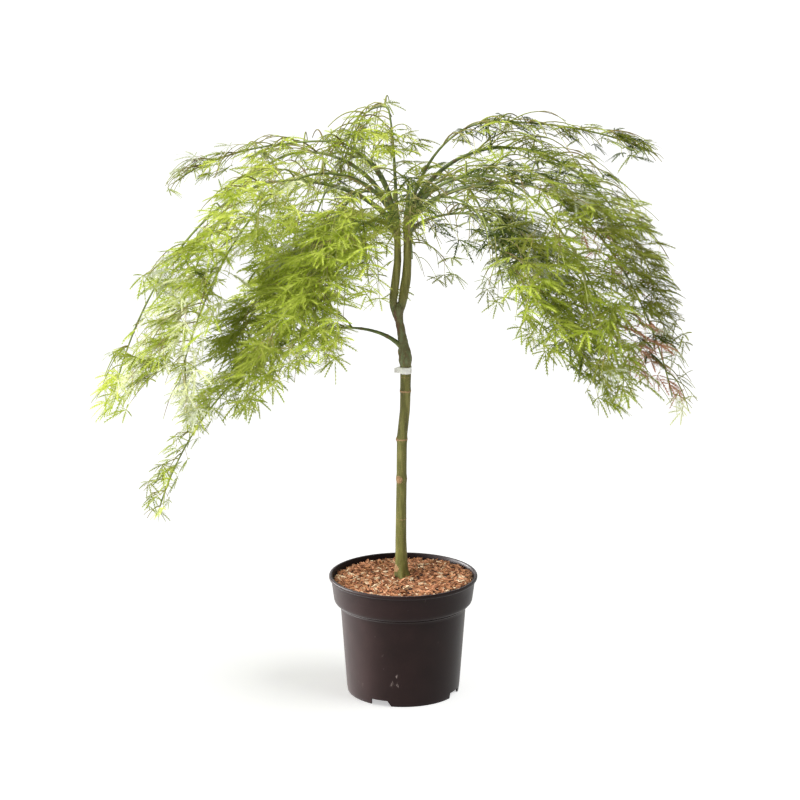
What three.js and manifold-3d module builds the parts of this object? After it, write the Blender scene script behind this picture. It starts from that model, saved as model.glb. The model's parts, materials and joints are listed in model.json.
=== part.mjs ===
// A weeping laceleaf Japanese maple, grafted high on a straight stem, in a round nursery pot.
// Millimetres, +Z up. The origin is the centre of the pot's flat underside, +X is the plant's
// right-hand side and -Y its front. The stem stands in a bark-mulched root ball, forks in two
// leaders above the graft, and the leaders carry arching boughs whose foliage weeps all round.

import * as THREE from 'three';
import { mergeVertices } from 'three/addons/utils/BufferGeometryUtils.js';
import loadManifold from 'manifold-3d';

// ---- Driving dimensions -------------------------------------------------------------------

const GAP = 0.3; // clearance between neighbouring solids

const POT = {
  height: 211, rimRadius: 130, lip: 3, collarRadius: 122, collarHeight: 49,
  lipDrop: 8, edge: 1, shoulderRadius: 110, shoulderDrop: 7, footRadius: 98, footBand: 12, footStep: 1.6,
  wall: 2.6, discRadius: 56, grooveRadius: 60, grooveHeight: 11, floor: 3, segments: 28,
};
const DRAIN = {
  count: 4, azimuth: 247, width: 38, slant: 7, height: 10, depth: 14, reveal: 4,
  holeRadius: 6, holeRing: 77, holeSides: 8,
};
const MULCH = {
  seatHeight: 203, seatRadius: 22, seatFoot: 30, edgeHeight: 200, edgeInset: 2, lowest: 130,
  tilt: 4, roughness: 2.2, ripples: [5, 3], rings: 4, segments: 20,
};
const BALL_INSET = POT.wall + 0.7; // clear of the pot's wall, the flats of its facets included

// The stem and its leaders: [height, x, y, radius] from the flat cut up.
const TRUNK = [
  [203.3, -2, 0, 15.5], [209, -2.4, 0, 13], [222, -3, 0, 11], [273, -4.2, 0, 9.7], [340, -3.4, 1, 9],
  [378, -2.8, 1, 9], [384, -2.9, 1, 10.1], [392, -2.8, 1, 8.9], [448, -2.3, 1, 8.7], [455, -2.2, 1, 9.8],
  [463, -1.8, 1, 8.8], [507, 3, 0, 8.7], [536, 3.6, 0, 8.8], [541, 3.7, 0, 9.8], [547, 3.8, 0, 8.9],
  [584, 4.2, 0, 9.3], [595, 3.8, 0, 11.2], [606, 3, 0, 11], [622, 0.4, 0, 8.4], [648, -3.9, 0, 7],
  [668, -7.7, 0, 7.3], [680, -9.6, 0, 10], [688, -10, 0, 13],
];
const TRUNK_SIDES = 10;
const FLARE = { top: 232, lobes: 5, depth: 0.16 };
const LEADERS = {
  left: [[688.3, -16.6, -1, 6.1], [702, -17.2, -1, 6.8], [735, -13.2, -2, 7.1], [770, -9.4, -3, 6.3],
    [797, -9.6, -4, 5.6], [822, -10.5, -4, 6.2], [846, -11.5, -2, 5.6]],
  right: [[688.3, -3.2, 1, 6.5], [702, -0.6, 1, 7.9], [735, 5, 2, 8.1], [766, 6.9, 3, 7],
    [797, 6.6, 4, 6.3], [824, 6, 4, 6.8], [850, 7, 2, 6.2]],
};
const LEADER_SIDES = 8;

// Every arch starts on a leader or the trunk, rises to a crest and weeps to a tip. start is its
// height there; azimuth is in degrees from +X towards +Y, and sweep is what it gains by the tip;
// crest and tip are [distance out, height]; bough is the share of the arch that is bare limb and
// girth its thickness against the common one; spread is the length of its twigs and leafSize
// their leaves' against the common size.
const ARCHES = [
  // name, from, start, azimuth, sweep, crest, tip, bough, girth, spread, twigs, leafSize
  ['upper_left', 'left', 838, 172, 6, [115, 972], [370, 905], 0.3, 0.8, 100, 8, 0.8],
  ['outer_left', 'left', 822, 186, 2, [185, 910], [485, 550], 0.4, 1, 120, 13, 0.85],
  ['rear_left', 'left', 832, 150, 8, [165, 945], [430, 590], 0.38, 1, 130, 10, 0.95],
  ['front_left', 'left', 830, 212, -4, [150, 930], [410, 580], 0.38, 0.9, 125, 8, 1],
  ['inner_left', 'left', 808, 196, 0, [75, 850], [225, 630], 0.36, 0.8, 105, 6, 1],
  ['low_left', 'trunk', 612, 186, 4, [105, 655], [425, 355], 0.42, 0.8, 60, 8, 0.7],
  ['back_left', 'left', 816, 114, 8, [130, 930], [330, 690], 0.38, 0.9, 120, 7, 1],
  ['near_left', 'left', 815, 236, -4, [95, 900], [250, 690], 0.38, 0.8, 105, 6, 1],
  ['peak', 'left', 843, 158, -25, [20, 1030], [95, 988], 0.34, 0.65, 95, 8, 0.85],
  ['upper_right', 'right', 845, 6, -4, [145, 1004], [400, 955], 0.22, 0.8, 100, 9, 0.8],
  ['outer_right', 'right', 832, 354, -2, [175, 905], [455, 545], 0.4, 1, 120, 11, 0.85],
  ['rear_right', 'right', 838, 30, -6, [175, 950], [450, 745], 0.38, 1, 125, 10, 0.9],
  ['front_right', 'right', 826, 328, 4, [150, 925], [395, 620], 0.38, 0.9, 120, 8, 1],
  ['inner_right', 'right', 812, 358, 0, [95, 850], [275, 620], 0.36, 0.8, 100, 6, 1],
  ['back_right', 'right', 818, 62, -4, [140, 890], [330, 670], 0.38, 0.9, 115, 6, 1],
  ['back', 'right', 828, 90, -2, [125, 865], [300, 715], 0.38, 0.8, 100, 5, 1],
  ['near_right', 'right', 806, 308, 6, [110, 890], [275, 730], 0.38, 0.8, 100, 6, 1],
  ['front', 'right', 840, 272, 0, [80, 915], [200, 895], 0.38, 0.6, 90, 4, 1],
].map(([name, from, start, azimuth, sweep, crest, tip, bough, girth, spread, twigs, leafSize], i) => (
  { name, from, start, azimuth, sweep, crest, tip, bough, girth, spread, twigs, leafSize, seed: 11 + i }));

// The crown's outline: [height, reach to the left, reach to the right], and its depth from front
// to back over its width. Foliage keeps out of the window round and before the stem.
const CROWN = {
  outline: [
    [280, 500, 400], [470, 550, 440], [500, 555, 510], [567, 550, 505], [610, 530, 500],
    [700, 500, 490], [785, 480, 480], [890, 480, 480], [960, 420, 480], [985, 260, 400],
    [1010, 180, 250], [1054, 60, 90],
  ],
  depth: 0.8,
};
// As seen from the front, where a step back gains slant in height, foliage keeps under the crest
// line and over the hem, both [x, height] and both passed by no more than the margin. The lone
// arches stand clear of the rest and pass them, but no further from their stems than loneReach.
const PROFILE = {
  slant: 0.244, margin: 36, lone: ['upper_left', 'low_left', 'upper_right'], loneReach: 52,
  crest: [
    [-560, 470], [-535, 512], [-514, 550], [-494, 600], [-452, 671], [-431, 735], [-390, 776],
    [-348, 811], [-328, 870], [-307, 926], [-269, 965], [-226, 985], [-139, 1000], [-79, 1030],
    [-27, 1050], [11, 1035], [34, 963], [60, 963], [77, 994], [103, 1018], [163, 1030],
    [215, 1014], [293, 960], [336, 940], [400, 890], [440, 858], [465, 820], [475, 740], [520, 620],
  ],
  hem: [
    [-560, 470], [-465, 478], [-448, 535], [-425, 550], [-410, 446], [-330, 430], [-250, 465],
    [-203, 525], [-150, 565], [-65, 590], [-20, 640], [5, 730], [60, 730], [130, 700], [149, 620],
    [205, 575], [250, 505], [336, 472], [480, 462], [520, 480],
  ],
};
const WINDOW = { left: -32, right: 95, back: 60, top: 830 };
const BOUGH = { baseRadius: 5.2, endRadius: 2.6, sides: 6, rings: 4 };
const STEM = { tipRadius: 1.3, sides: 3, rings: 6 };
// A twig fans forward of square to its stem, rises most where the arch is at its crest, then droops.
const TWIG = { radius: 1.6, tipRadius: 1.1, rings: 2, forward: 30, fan: 24, rise: [1, 0.15], droop: 0.8 };
const LEAF = {
  length: 94, stalk: 22, root: 1.1, thickness: 1.8, droop: 0.28,
  lobe: 52, lobeShare: 0.85, notch: 26, notchShare: 0.42, roll: 110, dip: 0.6,
};
const LEAF_SPOTS = [[0.58, 1], [0.97, 0]]; // [share of the twig, side it turns to]
const SPACE = { overhang: 80, clearance: 0.4, sizes: [1, 1, 0.8, 0.8, 0.62, 0.62], turn: 55 };

const LABEL = {
  bottom: 572, height: 12, radius: 9.6, thickness: 0.9, sides: 16, tail: { length: 9, height: 8 },
};
const LABEL_ROOM = { bottom: 565, top: 590, radius: 24, sides: 8 }; // what foliage leaves free for it

// ---- Materials ----------------------------------------------------------------------------

const finish = (color, roughness) => new THREE.MeshStandardMaterial({ color, roughness, metalness: 0 });
const potPlastic = finish(0x332c29, 0.62);
const barkMulch = finish(0x9a6848, 0.95);
const stemBark = finish(0x7b8440, 0.7);
const boughBark = finish(0x5f6a35, 0.72);
const leafGreen = finish(0x86a336, 0.6);
const labelWhite = finish(0xf1f0ea, 0.55);

// ---- Solids -------------------------------------------------------------------------------

const wasm = await loadManifold();
wasm.setup();

// A closed three.js geometry as a solid that can be joined and cut.
function solid(geometry) {
  geometry.deleteAttribute('normal');
  geometry.deleteAttribute('uv');
  const merged = mergeVertices(geometry, 1e-3);
  const corners = merged.index.array;
  const triVerts = [];
  for (let i = 0; i < corners.length; i += 3) {
    const [a, b, c] = corners.slice(i, i + 3);
    if (a !== b && b !== c && c !== a) triVerts.push(a, b, c);
  }
  return new wasm.Manifold(new wasm.Mesh({
    numProp: 3,
    vertProperties: merged.attributes.position.array,
    triVerts: new Uint32Array(triVerts),
  }));
}

// The largest body of a solid, with loose scraps and sealed hollows dropped.
function largestBody(shape) {
  return shape.decompose().reduce((best, body) => (body.volume() > best.volume() ? body : best));
}

function joined(shapes) {
  return shapes.reduce((whole, shape) => whole.add(shape));
}

function meshOf(name, shape, material) {
  const { vertProperties, triVerts } = shape.getMesh();
  const geometry = new THREE.BufferGeometry();
  geometry.setAttribute('position', new THREE.BufferAttribute(vertProperties, 3));
  geometry.setIndex(new THREE.BufferAttribute(triVerts, 1));
  geometry.computeVertexNormals();
  const mesh = new THREE.Mesh(geometry, material);
  mesh.name = name;
  return mesh;
}

// Seeded random numbers from 0 to 1.
function makeRandom(seed) {
  let state = seed;
  return () => {
    state = (Math.imul(state, 1664525) + 1013904223) >>> 0;
    return state / 4294967296;
  };
}

const radians = THREE.MathUtils.degToRad;
const heading = (degrees) => new THREE.Vector3(Math.cos(radians(degrees)), Math.sin(radians(degrees)), 0);
const UP = new THREE.Vector3(0, 0, 1);

// A closed tapering tube: pointAt(t) is its axis and radiusAt(t) its radius for t from 0 to 1,
// and across is any direction that the axis never takes.
function tube({ pointAt, radiusAt, across, sides, rings }, extra = 0) {
  const geometry = new THREE.CylinderGeometry(1, 1, 1, sides, rings);
  const position = geometry.attributes.position;
  for (let i = 0; i < position.count; i++) {
    const t = Math.round((position.getY(i) + 0.5) * rings) / rings;
    const ahead = pointAt(t + 0.01).sub(pointAt(t - 0.01)).normalize();
    const side = across.clone().addScaledVector(ahead, -across.dot(ahead)).normalize();
    const over = new THREE.Vector3().crossVectors(ahead, side);
    const radius = radiusAt(t) + extra;
    const spot = pointAt(t);
    spot.addScaledVector(side, position.getX(i) * radius);
    spot.addScaledVector(over, -position.getZ(i) * radius);
    position.setXYZ(i, spot.x, spot.y, spot.z);
  }
  return solid(geometry);
}

// The axis of a tube's flat-sided runs, which cut the corners of its curve.
function chordAt({ pointAt, rings }, t) {
  const ring = Math.min(rings - 1, Math.floor(t * rings));
  return pointAt(ring / rings).lerp(pointAt((ring + 1) / rings), t * rings - ring);
}

// An upright limb built from level rings [height, x, y, radius].
function upright(rings, sides, extra = 0, ringScale = () => 1) {
  const geometry = new THREE.CylinderGeometry(1, 1, 1, sides, rings.length - 1);
  const position = geometry.attributes.position;
  for (let i = 0; i < position.count; i++) {
    const [height, x, y, radius] = rings[Math.round((position.getY(i) + 0.5) * (rings.length - 1))];
    const turn = Math.atan2(position.getX(i), position.getZ(i));
    const reach = (radius * ringScale(height, turn) + extra) * Math.hypot(position.getX(i), position.getZ(i));
    position.setXYZ(i, x + reach * Math.sin(turn), y - reach * Math.cos(turn), height);
  }
  return solid(geometry);
}

function axisAt(rings, height) {
  const upper = Math.max(1, rings.findIndex((ring) => ring[0] >= height));
  const [a, b] = [rings[upper - 1], rings[upper]];
  const share = (height - a[0]) / (b[0] - a[0]);
  return new THREE.Vector3(a[1] + share * (b[1] - a[1]), a[2] + share * (b[2] - a[2]), height);
}

// ---- Pot ----------------------------------------------------------------------------------

// Outer and inner outlines as [radius, height]; wall is the plastic's thickness.
function potOutline() {
  const collarFoot = POT.height - POT.collarHeight;
  const shoulder = collarFoot - POT.shoulderDrop;
  const neck = POT.rimRadius - POT.lip - POT.edge;
  return [
    [0, 0], [POT.discRadius, 0], [POT.grooveRadius, POT.grooveHeight],
    [POT.footRadius - POT.wall, POT.grooveHeight], [POT.footRadius - POT.wall, 0],
    [POT.footRadius, 0], [POT.footRadius + POT.footStep, POT.footBand], [POT.shoulderRadius, shoulder],
    [POT.collarRadius - POT.edge, collarFoot - POT.edge], [POT.collarRadius, collarFoot + POT.edge],
    [neck, POT.height - POT.lipDrop], [POT.rimRadius, POT.height - POT.lipDrop + POT.lip],
    [POT.rimRadius, POT.height - POT.edge], [POT.rimRadius - POT.edge, POT.height],
    [neck - POT.edge, POT.height], [neck - POT.wall, POT.height - POT.lipDrop / 2],
    [POT.collarRadius - POT.wall, collarFoot + POT.edge], [POT.shoulderRadius - POT.wall, shoulder],
    [POT.footRadius + POT.footStep - POT.wall, POT.grooveHeight + POT.floor],
    [POT.grooveRadius, POT.grooveHeight + POT.floor],
    [POT.discRadius, POT.floor], [0, POT.floor],
  ];
}

function lathe(outline, segments) {
  const geometry = new THREE.LatheGeometry(outline.map(([r, z]) => new THREE.Vector2(r, z)), segments);
  return geometry.rotateX(Math.PI / 2);
}

function potSolid() {
  let pot = solid(lathe(potOutline(), POT.segments));
  const notch = new THREE.Shape([
    new THREE.Vector2(-DRAIN.width / 2, -1), new THREE.Vector2(DRAIN.width / 2, -1),
    new THREE.Vector2(DRAIN.width / 2 - DRAIN.slant, DRAIN.height),
    new THREE.Vector2(-DRAIN.width / 2, DRAIN.height),
  ]);
  for (let i = 0; i < DRAIN.count; i++) {
    const azimuth = radians(DRAIN.azimuth + (i * 360) / DRAIN.count);
    const gate = new THREE.ExtrudeGeometry(notch, { depth: DRAIN.depth, bevelEnabled: false });
    gate.rotateX(Math.PI / 2).translate(0, DRAIN.depth - DRAIN.reveal - POT.footRadius, 0);
    gate.rotateZ(azimuth + Math.PI / 2);
    const hole = new THREE.CylinderGeometry(DRAIN.holeRadius, DRAIN.holeRadius, 3 * POT.floor, DRAIN.holeSides);
    hole.rotateX(Math.PI / 2).translate(DRAIN.holeRing, 0, POT.grooveHeight + POT.floor / 2);
    hole.rotateZ(azimuth);
    pot = pot.subtract(solid(gate)).subtract(solid(hole));
  }
  return pot;
}

// ---- Root ball with its mulch -------------------------------------------------------------

// Fills the pot just clear of its wall; the mulch on top is uneven, lowest at the rear left.
function rootBallSolid() {
  const collarFoot = POT.height - POT.collarHeight;
  const shoulder = collarFoot - POT.shoulderDrop;
  const flaring = (POT.rimRadius - POT.lip - POT.edge - POT.collarRadius) / POT.collarHeight;
  const edge = POT.collarRadius - BALL_INSET + (MULCH.edgeHeight - collarFoot) * flaring;
  const bottom = POT.floor + GAP;
  const outline = [
    [0, bottom], [POT.discRadius - 1, bottom], [POT.grooveRadius - 1, POT.grooveHeight + bottom],
    [POT.footRadius + POT.footStep - BALL_INSET, POT.grooveHeight + bottom],
    [POT.shoulderRadius - BALL_INSET, shoulder + GAP],
    [POT.collarRadius - BALL_INSET, collarFoot + POT.edge + GAP],
    [edge - MULCH.edgeInset / 2, MULCH.edgeHeight - MULCH.tilt - MULCH.roughness],
  ];
  for (let ring = 0; ring < MULCH.rings; ring++) {
    const share = ring / (MULCH.rings - 1);
    outline.push([edge - MULCH.edgeInset + share * (MULCH.seatFoot - edge), MULCH.edgeHeight]);
  }
  outline.push([MULCH.seatRadius, MULCH.seatHeight], [0, MULCH.seatHeight]);
  const geometry = lathe(outline, MULCH.segments);
  const position = geometry.attributes.position;
  for (let i = 0; i < position.count; i++) {
    if (position.getZ(i) !== MULCH.edgeHeight) continue;
    const turn = Math.atan2(position.getY(i), position.getX(i));
    const radius = Math.hypot(position.getX(i), position.getY(i));
    const tilt = -MULCH.tilt * Math.cos(turn - radians(MULCH.lowest)) * (radius / edge);
    const [first, second] = MULCH.ripples;
    const rough = MULCH.roughness * Math.sin(first * turn + radius) * Math.cos(second * turn - radius / 9);
    position.setZ(i, MULCH.edgeHeight + tilt + rough);
  }
  return solid(geometry);
}

// ---- Stem, leaders and boughs -------------------------------------------------------------

// Root flare: lobes that fade out up the stem's foot.
function flare(height, turn) {
  const share = Math.max(0, (FLARE.top - height) / (FLARE.top - TRUNK[0][0]));
  return 1 + FLARE.depth * share * Math.cos(FLARE.lobes * turn);
}

// The point at t from 0 to 1 on an arch: a rise to its crest, then a fall to its tip.
function archPoint(arch, t) {
  const rings = arch.from === 'trunk' ? TRUNK : LEADERS[arch.from];
  const [crestReach, crestHeight] = arch.crest;
  const [tipReach, tipHeight] = arch.tip;
  const lift = crestHeight - arch.start;
  const fall = crestHeight - tipHeight;
  const out = tipReach - crestReach;
  const rising = t < 0.5;
  const u = rising ? 2 * t : 2 * t - 1;
  const reach = rising
    ? bezier(u, 0, 0.2 * crestReach, 0.6 * crestReach, crestReach)
    : bezier(u, crestReach, crestReach + 0.45 * out, crestReach + 0.85 * out, tipReach);
  const height = rising
    ? bezier(u, arch.start, arch.start + 0.7 * lift, crestHeight, crestHeight)
    : bezier(u, crestHeight, crestHeight, tipHeight + 0.5 * fall, tipHeight);
  const spot = axisAt(rings, arch.start).addScaledVector(heading(arch.azimuth + arch.sweep * t), reach);
  return spot.setZ(height);
}

function bezier(u, a, b, c, d) {
  const v = 1 - u;
  return v * v * v * a + 3 * v * v * u * b + 3 * v * u * u * c + u * u * u * d;
}

// The part of an arch between two shares of it, as a tapering limb.
function archLimb(arch, start, end, startRadius, endRadius, { sides, rings }) {
  return {
    pointAt: (t) => archPoint(arch, start + t * (end - start)),
    radiusAt: (t) => startRadius + t * (endRadius - startRadius),
    across: new THREE.Vector3().crossVectors(UP, heading(arch.azimuth)),
    sides,
    rings,
  };
}

const boughOf = (arch) => archLimb(
  arch, 0, arch.bough, arch.girth * BOUGH.baseRadius, arch.girth * BOUGH.endRadius, BOUGH,
);

// The stem of the foliage takes the arch on, a gap beyond its bough's end.
function stemOf(arch) {
  const step = 0.001;
  const pace = archPoint(arch, arch.bough + step).distanceTo(archPoint(arch, arch.bough)) / step;
  return archLimb(arch, arch.bough + GAP / pace, 1, arch.girth * BOUGH.endRadius, STEM.tipRadius, STEM);
}

// ---- Foliage ------------------------------------------------------------------------------

// An arch's space is what lies nearer to its stem than to any other, and a little beyond.
const stemSpots = new Map(ARCHES.map((arch) => {
  const { pointAt } = stemOf(arch);
  return [arch, Array.from({ length: 31 }, (_, i) => pointAt(i / 30))];
}));
const distanceTo = (arch, spot) => Math.min(...stemSpots.get(arch).map((s) => s.distanceTo(spot)));

function isInCrown({ x, y, z }) {
  const above = CROWN.outline.findIndex(([height]) => height > z);
  if (above < 1) return false;
  const [low, high] = CROWN.outline.slice(above - 1, above + 1);
  const share = (z - low[0]) / (high[0] - low[0]);
  const [left, right] = [1, 2].map((k) => low[k] + share * (high[k] - low[k]));
  const span = Math.hypot(x, y / CROWN.depth);
  const inWindow = y < WINDOW.back && x > WINDOW.left && x < WINDOW.right && z < WINDOW.top;
  return !inWindow && span < (left + right + (right - left) * (x / span)) / 2;
}

// The height at x of a line of [x, height].
function heightAt(line, x) {
  const after = Math.max(1, line.findIndex((point) => point[0] > x));
  const [a, b] = [line[after - 1], line[after]];
  return a[1] + ((x - a[0]) / (b[0] - a[0])) * (b[1] - a[1]);
}

function isInProfile({ x, y, z }) {
  const height = z + PROFILE.slant * y;
  return height < heightAt(PROFILE.crest, x) + PROFILE.margin
    && height > heightAt(PROFILE.hem, x) - PROFILE.margin;
}

function isInSpace(arch, spot) {
  if (!isInCrown(spot)) return false;
  const away = distanceTo(arch, spot);
  const stray = PROFILE.lone.includes(arch.name) && away < PROFILE.loneReach;
  if (!stray && !isInProfile(spot)) return false;
  return ARCHES.every((other) => other === arch || distanceTo(other, spot) > away - SPACE.overhang);
}

// What is in place already, each solid under a name and with its bounding box.
const placed = [];
function place(name, shape) {
  placed.push({ name, shape, box: shape.boundingBox() });
}

// Whether a new solid touches nothing in place but what carries it.
function isClear(carrier, shape) {
  const box = shape.boundingBox();
  return placed.every((other) => (
    other.name === carrier
    || [0, 1, 2].some((k) => other.box.min[k] > box.max[k] || other.box.max[k] < box.min[k])
    || shape.intersect(other.shape).isEmpty()));
}

// A three-lobed leaf: a thin drooping star, thickest at its heart, on a stalk whose three-sided
// root is sunk in the twig.
function leafPoints(root, ahead, roll, size, extra = 0) {
  const level = new THREE.Vector3().crossVectors(UP, ahead).normalize();
  const side = level.applyAxisAngle(ahead, roll);
  const over = new THREE.Vector3().crossVectors(ahead, side);
  const length = LEAF.length * size + 2 * extra;
  const half = LEAF.thickness + extra;
  const at = (along, sideways, above) => root.clone().addScaledVector(ahead, along)
    .addScaledVector(side, sideways).addScaledVector(over, above);
  const lobe = (angle, reach) => at(
    LEAF.stalk + Math.cos(radians(angle)) * reach, Math.sin(radians(angle)) * reach, -LEAF.droop * reach,
  );
  return {
    rim: [
      lobe(-LEAF.lobe, LEAF.lobeShare * length), lobe(-LEAF.notch, LEAF.notchShare * length),
      lobe(0, length),
      lobe(LEAF.notch, LEAF.notchShare * length), lobe(LEAF.lobe, LEAF.lobeShare * length),
    ],
    heart: at(LEAF.stalk, 0, half),
    root: [at(0, LEAF.root, -LEAF.root / 2), at(0, -LEAF.root, -LEAF.root / 2), at(0, 0, LEAF.root)],
  };
}

function leafSolid({ rim, heart, root }) {
  const geometry = new THREE.BufferGeometry().setFromPoints([...rim, heart, ...root]);
  const [top, left, right, ridge] = [5, 6, 7, 8];
  const faces = [0, 1, 2, 3].flatMap((i) => [top, i, i + 1, right, i + 1, i]);
  faces.push(top, 4, ridge, 4, left, ridge, right, left, 4);
  faces.push(0, ridge, right, top, ridge, 0, left, right, ridge);
  geometry.setIndex(faces);
  return solid(geometry);
}

// Twigs leave the stem left and right in turn, reach out and droop, and bear leaves along them
// and at their tip. What would leave the arch's space or touch a neighbour is tried smaller and
// turned, then left out.
function foliage(arch) {
  const random = makeRandom(arch.seed);
  const stem = stemOf(arch);
  const parts = [tube(stem)];
  const addLeaf = (carrier, root, ahead, size, roll) => {
    SPACE.sizes.some((share, attempt) => {
      const turn = radians(roll + attempt * SPACE.turn);
      const leaf = leafPoints(root, ahead, turn, size * share);
      if (!leaf.rim.every((spot) => isInSpace(arch, spot))) return false;
      const room = leafSolid(leafPoints(root, ahead, turn, size * share, SPACE.clearance));
      if (!isClear(carrier, room)) return false;
      parts.push(leafSolid(leaf));
      place('leaf', parts.at(-1));
      return true;
    });
  };
  for (let i = 0; i < arch.twigs; i++) {
    const t = (i + 0.2 + 0.3 * random()) / arch.twigs;
    const root = chordAt(stem, t);
    const outward = stem.pointAt(t + 0.02).sub(stem.pointAt(t)).setZ(0).normalize();
    const across = new THREE.Vector3().crossVectors(UP, outward).multiplyScalar(i % 2 ? 1 : -1);
    const forward = radians(TWIG.forward + TWIG.fan * (random() - 0.5));
    const aim = across.multiplyScalar(Math.cos(forward)).addScaledVector(outward, Math.sin(forward));
    const length = arch.spread * (0.8 + 0.4 * random()) * (1 - 0.35 * t);
    const rise = TWIG.rise[0] + t * (TWIG.rise[1] - TWIG.rise[0]);
    const twig = {
      pointAt: (u) => root.clone().addScaledVector(aim, length * u)
        .addScaledVector(UP, length * u * (rise - TWIG.droop * u)),
      radiusAt: (u) => TWIG.radius + u * (TWIG.tipRadius - TWIG.radius),
      across: UP.clone().cross(aim),
      sides: 3,
      rings: TWIG.rings,
    };
    const name = `twig_${i}_${arch.name}`;
    const grows = isInSpace(arch, twig.pointAt(1)) && isClear(arch.name, tube(twig, SPACE.clearance));
    if (grows) {
      parts.push(tube(twig));
      place(name, parts.at(-1));
    }
    for (const [u, turn] of LEAF_SPOTS) {
      const ahead = twig.pointAt(u + 0.01).sub(twig.pointAt(u)).normalize();
      ahead.applyAxisAngle(UP, radians(turn * (i % 4 < 2 ? 1 : -1) * (40 + 30 * random())));
      ahead.z -= LEAF.dip * (0.25 + t) * (0.5 + random());
      const size = arch.leafSize * (0.8 + 0.4 * random());
      const roll = LEAF.roll * (random() - 0.5);
      if (grows) addLeaf(name, chordAt(twig, u), ahead.normalize(), size, roll);
    }
  }
  const onward = stem.pointAt(1).sub(stem.pointAt(0.97)).normalize();
  addLeaf(arch.name, chordAt(stem, 0.985), onward, arch.leafSize, 0);
  return largestBody(joined(parts));
}

// ---- Label band ---------------------------------------------------------------------------

// A blank strip folded round the stem below the graft, its loose end standing out to the left.
function labelSolid() {
  const axis = axisAt(TRUNK, LABEL.bottom);
  const rings = [0, 1].map((share) => (
    [LABEL.bottom + share * LABEL.height, axis.x, axis.y, LABEL.radius + LABEL.thickness]));
  const tail = new THREE.BoxGeometry(LABEL.tail.length, LABEL.thickness, LABEL.tail.height);
  tail.translate(axis.x - LABEL.radius - LABEL.tail.length / 2, axis.y, LABEL.bottom + LABEL.height / 2);
  return upright(rings, LABEL.sides).add(solid(tail)).subtract(upright(TRUNK, TRUNK_SIDES, GAP, flare));
}

// ---- The plant ----------------------------------------------------------------------------

const plant = new THREE.Group();
plant.add(meshOf('pot', potSolid(), potPlastic));
plant.add(meshOf('root_ball', rootBallSolid(), barkMulch));
plant.add(meshOf('trunk', upright(TRUNK, TRUNK_SIDES, 0, flare), stemBark));
plant.add(meshOf('label_band', labelSolid(), labelWhite));
place('trunk', upright(TRUNK, TRUNK_SIDES, GAP, flare));
place('label', upright([LABEL_ROOM.bottom, LABEL_ROOM.top].map((height) => (
  [height, axisAt(TRUNK, height).x, 0, LABEL_ROOM.radius])), LABEL_ROOM.sides));
for (const side of ['left', 'right']) {
  plant.add(meshOf(`${side}_leader`, upright(LEADERS[side], LEADER_SIDES), stemBark));
  place(side, upright(LEADERS[side], LEADER_SIDES, GAP));
}

// Each bough is cut clear of the limbs that were there before it, which leaves a saddle joint.
for (const arch of ARCHES) {
  const bough = placed.reduce((shape, limb) => shape.subtract(limb.shape), tube(boughOf(arch)));
  plant.add(meshOf(`bough_${arch.name}`, largestBody(bough), boughBark));
  place(`bough_${arch.name}`, tube(boughOf(arch), GAP));
}
for (const arch of ARCHES) place(arch.name, tube(stemOf(arch), GAP));
for (const arch of ARCHES) {
  plant.add(meshOf(`foliage_${arch.name}`, foliage(arch), leafGreen));
}

export default plant;
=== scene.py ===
# A weeping laceleaf Japanese maple in a round black nursery pot. The pot is injection moulded, its
# root ball is dressed with bark chips, and the straight green stem is grafted below its fork. Two
# leaders carry arching boughs, whose twigs weep all round under finely cut leaves.

import json
import math

import bpy
import numpy as np
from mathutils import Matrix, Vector, noise

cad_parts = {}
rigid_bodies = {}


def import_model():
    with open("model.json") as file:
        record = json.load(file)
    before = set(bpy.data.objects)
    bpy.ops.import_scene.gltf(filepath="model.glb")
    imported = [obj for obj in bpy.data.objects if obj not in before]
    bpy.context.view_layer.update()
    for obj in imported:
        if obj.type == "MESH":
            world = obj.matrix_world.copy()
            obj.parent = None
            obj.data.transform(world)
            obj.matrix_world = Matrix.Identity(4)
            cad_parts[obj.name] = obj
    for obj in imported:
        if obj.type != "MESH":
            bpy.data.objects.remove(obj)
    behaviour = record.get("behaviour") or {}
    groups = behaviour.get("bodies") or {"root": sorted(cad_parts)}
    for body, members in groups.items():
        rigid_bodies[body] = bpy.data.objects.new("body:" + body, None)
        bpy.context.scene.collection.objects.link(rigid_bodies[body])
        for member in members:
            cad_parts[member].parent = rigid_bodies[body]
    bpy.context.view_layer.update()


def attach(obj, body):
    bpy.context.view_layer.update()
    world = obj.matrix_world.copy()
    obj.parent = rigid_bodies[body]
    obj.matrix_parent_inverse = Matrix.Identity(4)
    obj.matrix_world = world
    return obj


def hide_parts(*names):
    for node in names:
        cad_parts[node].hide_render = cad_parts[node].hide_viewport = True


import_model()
MM = 0.001

# ---- Pot -------------------------------------------------------------------------------------
# A 26 cm nursery pot, injection moulded in recycled black-brown polypropylene. It has a rolled
# rim, a tall collar that curves in to a fine bead, a tapered body, and drain gates in its foot.

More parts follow.
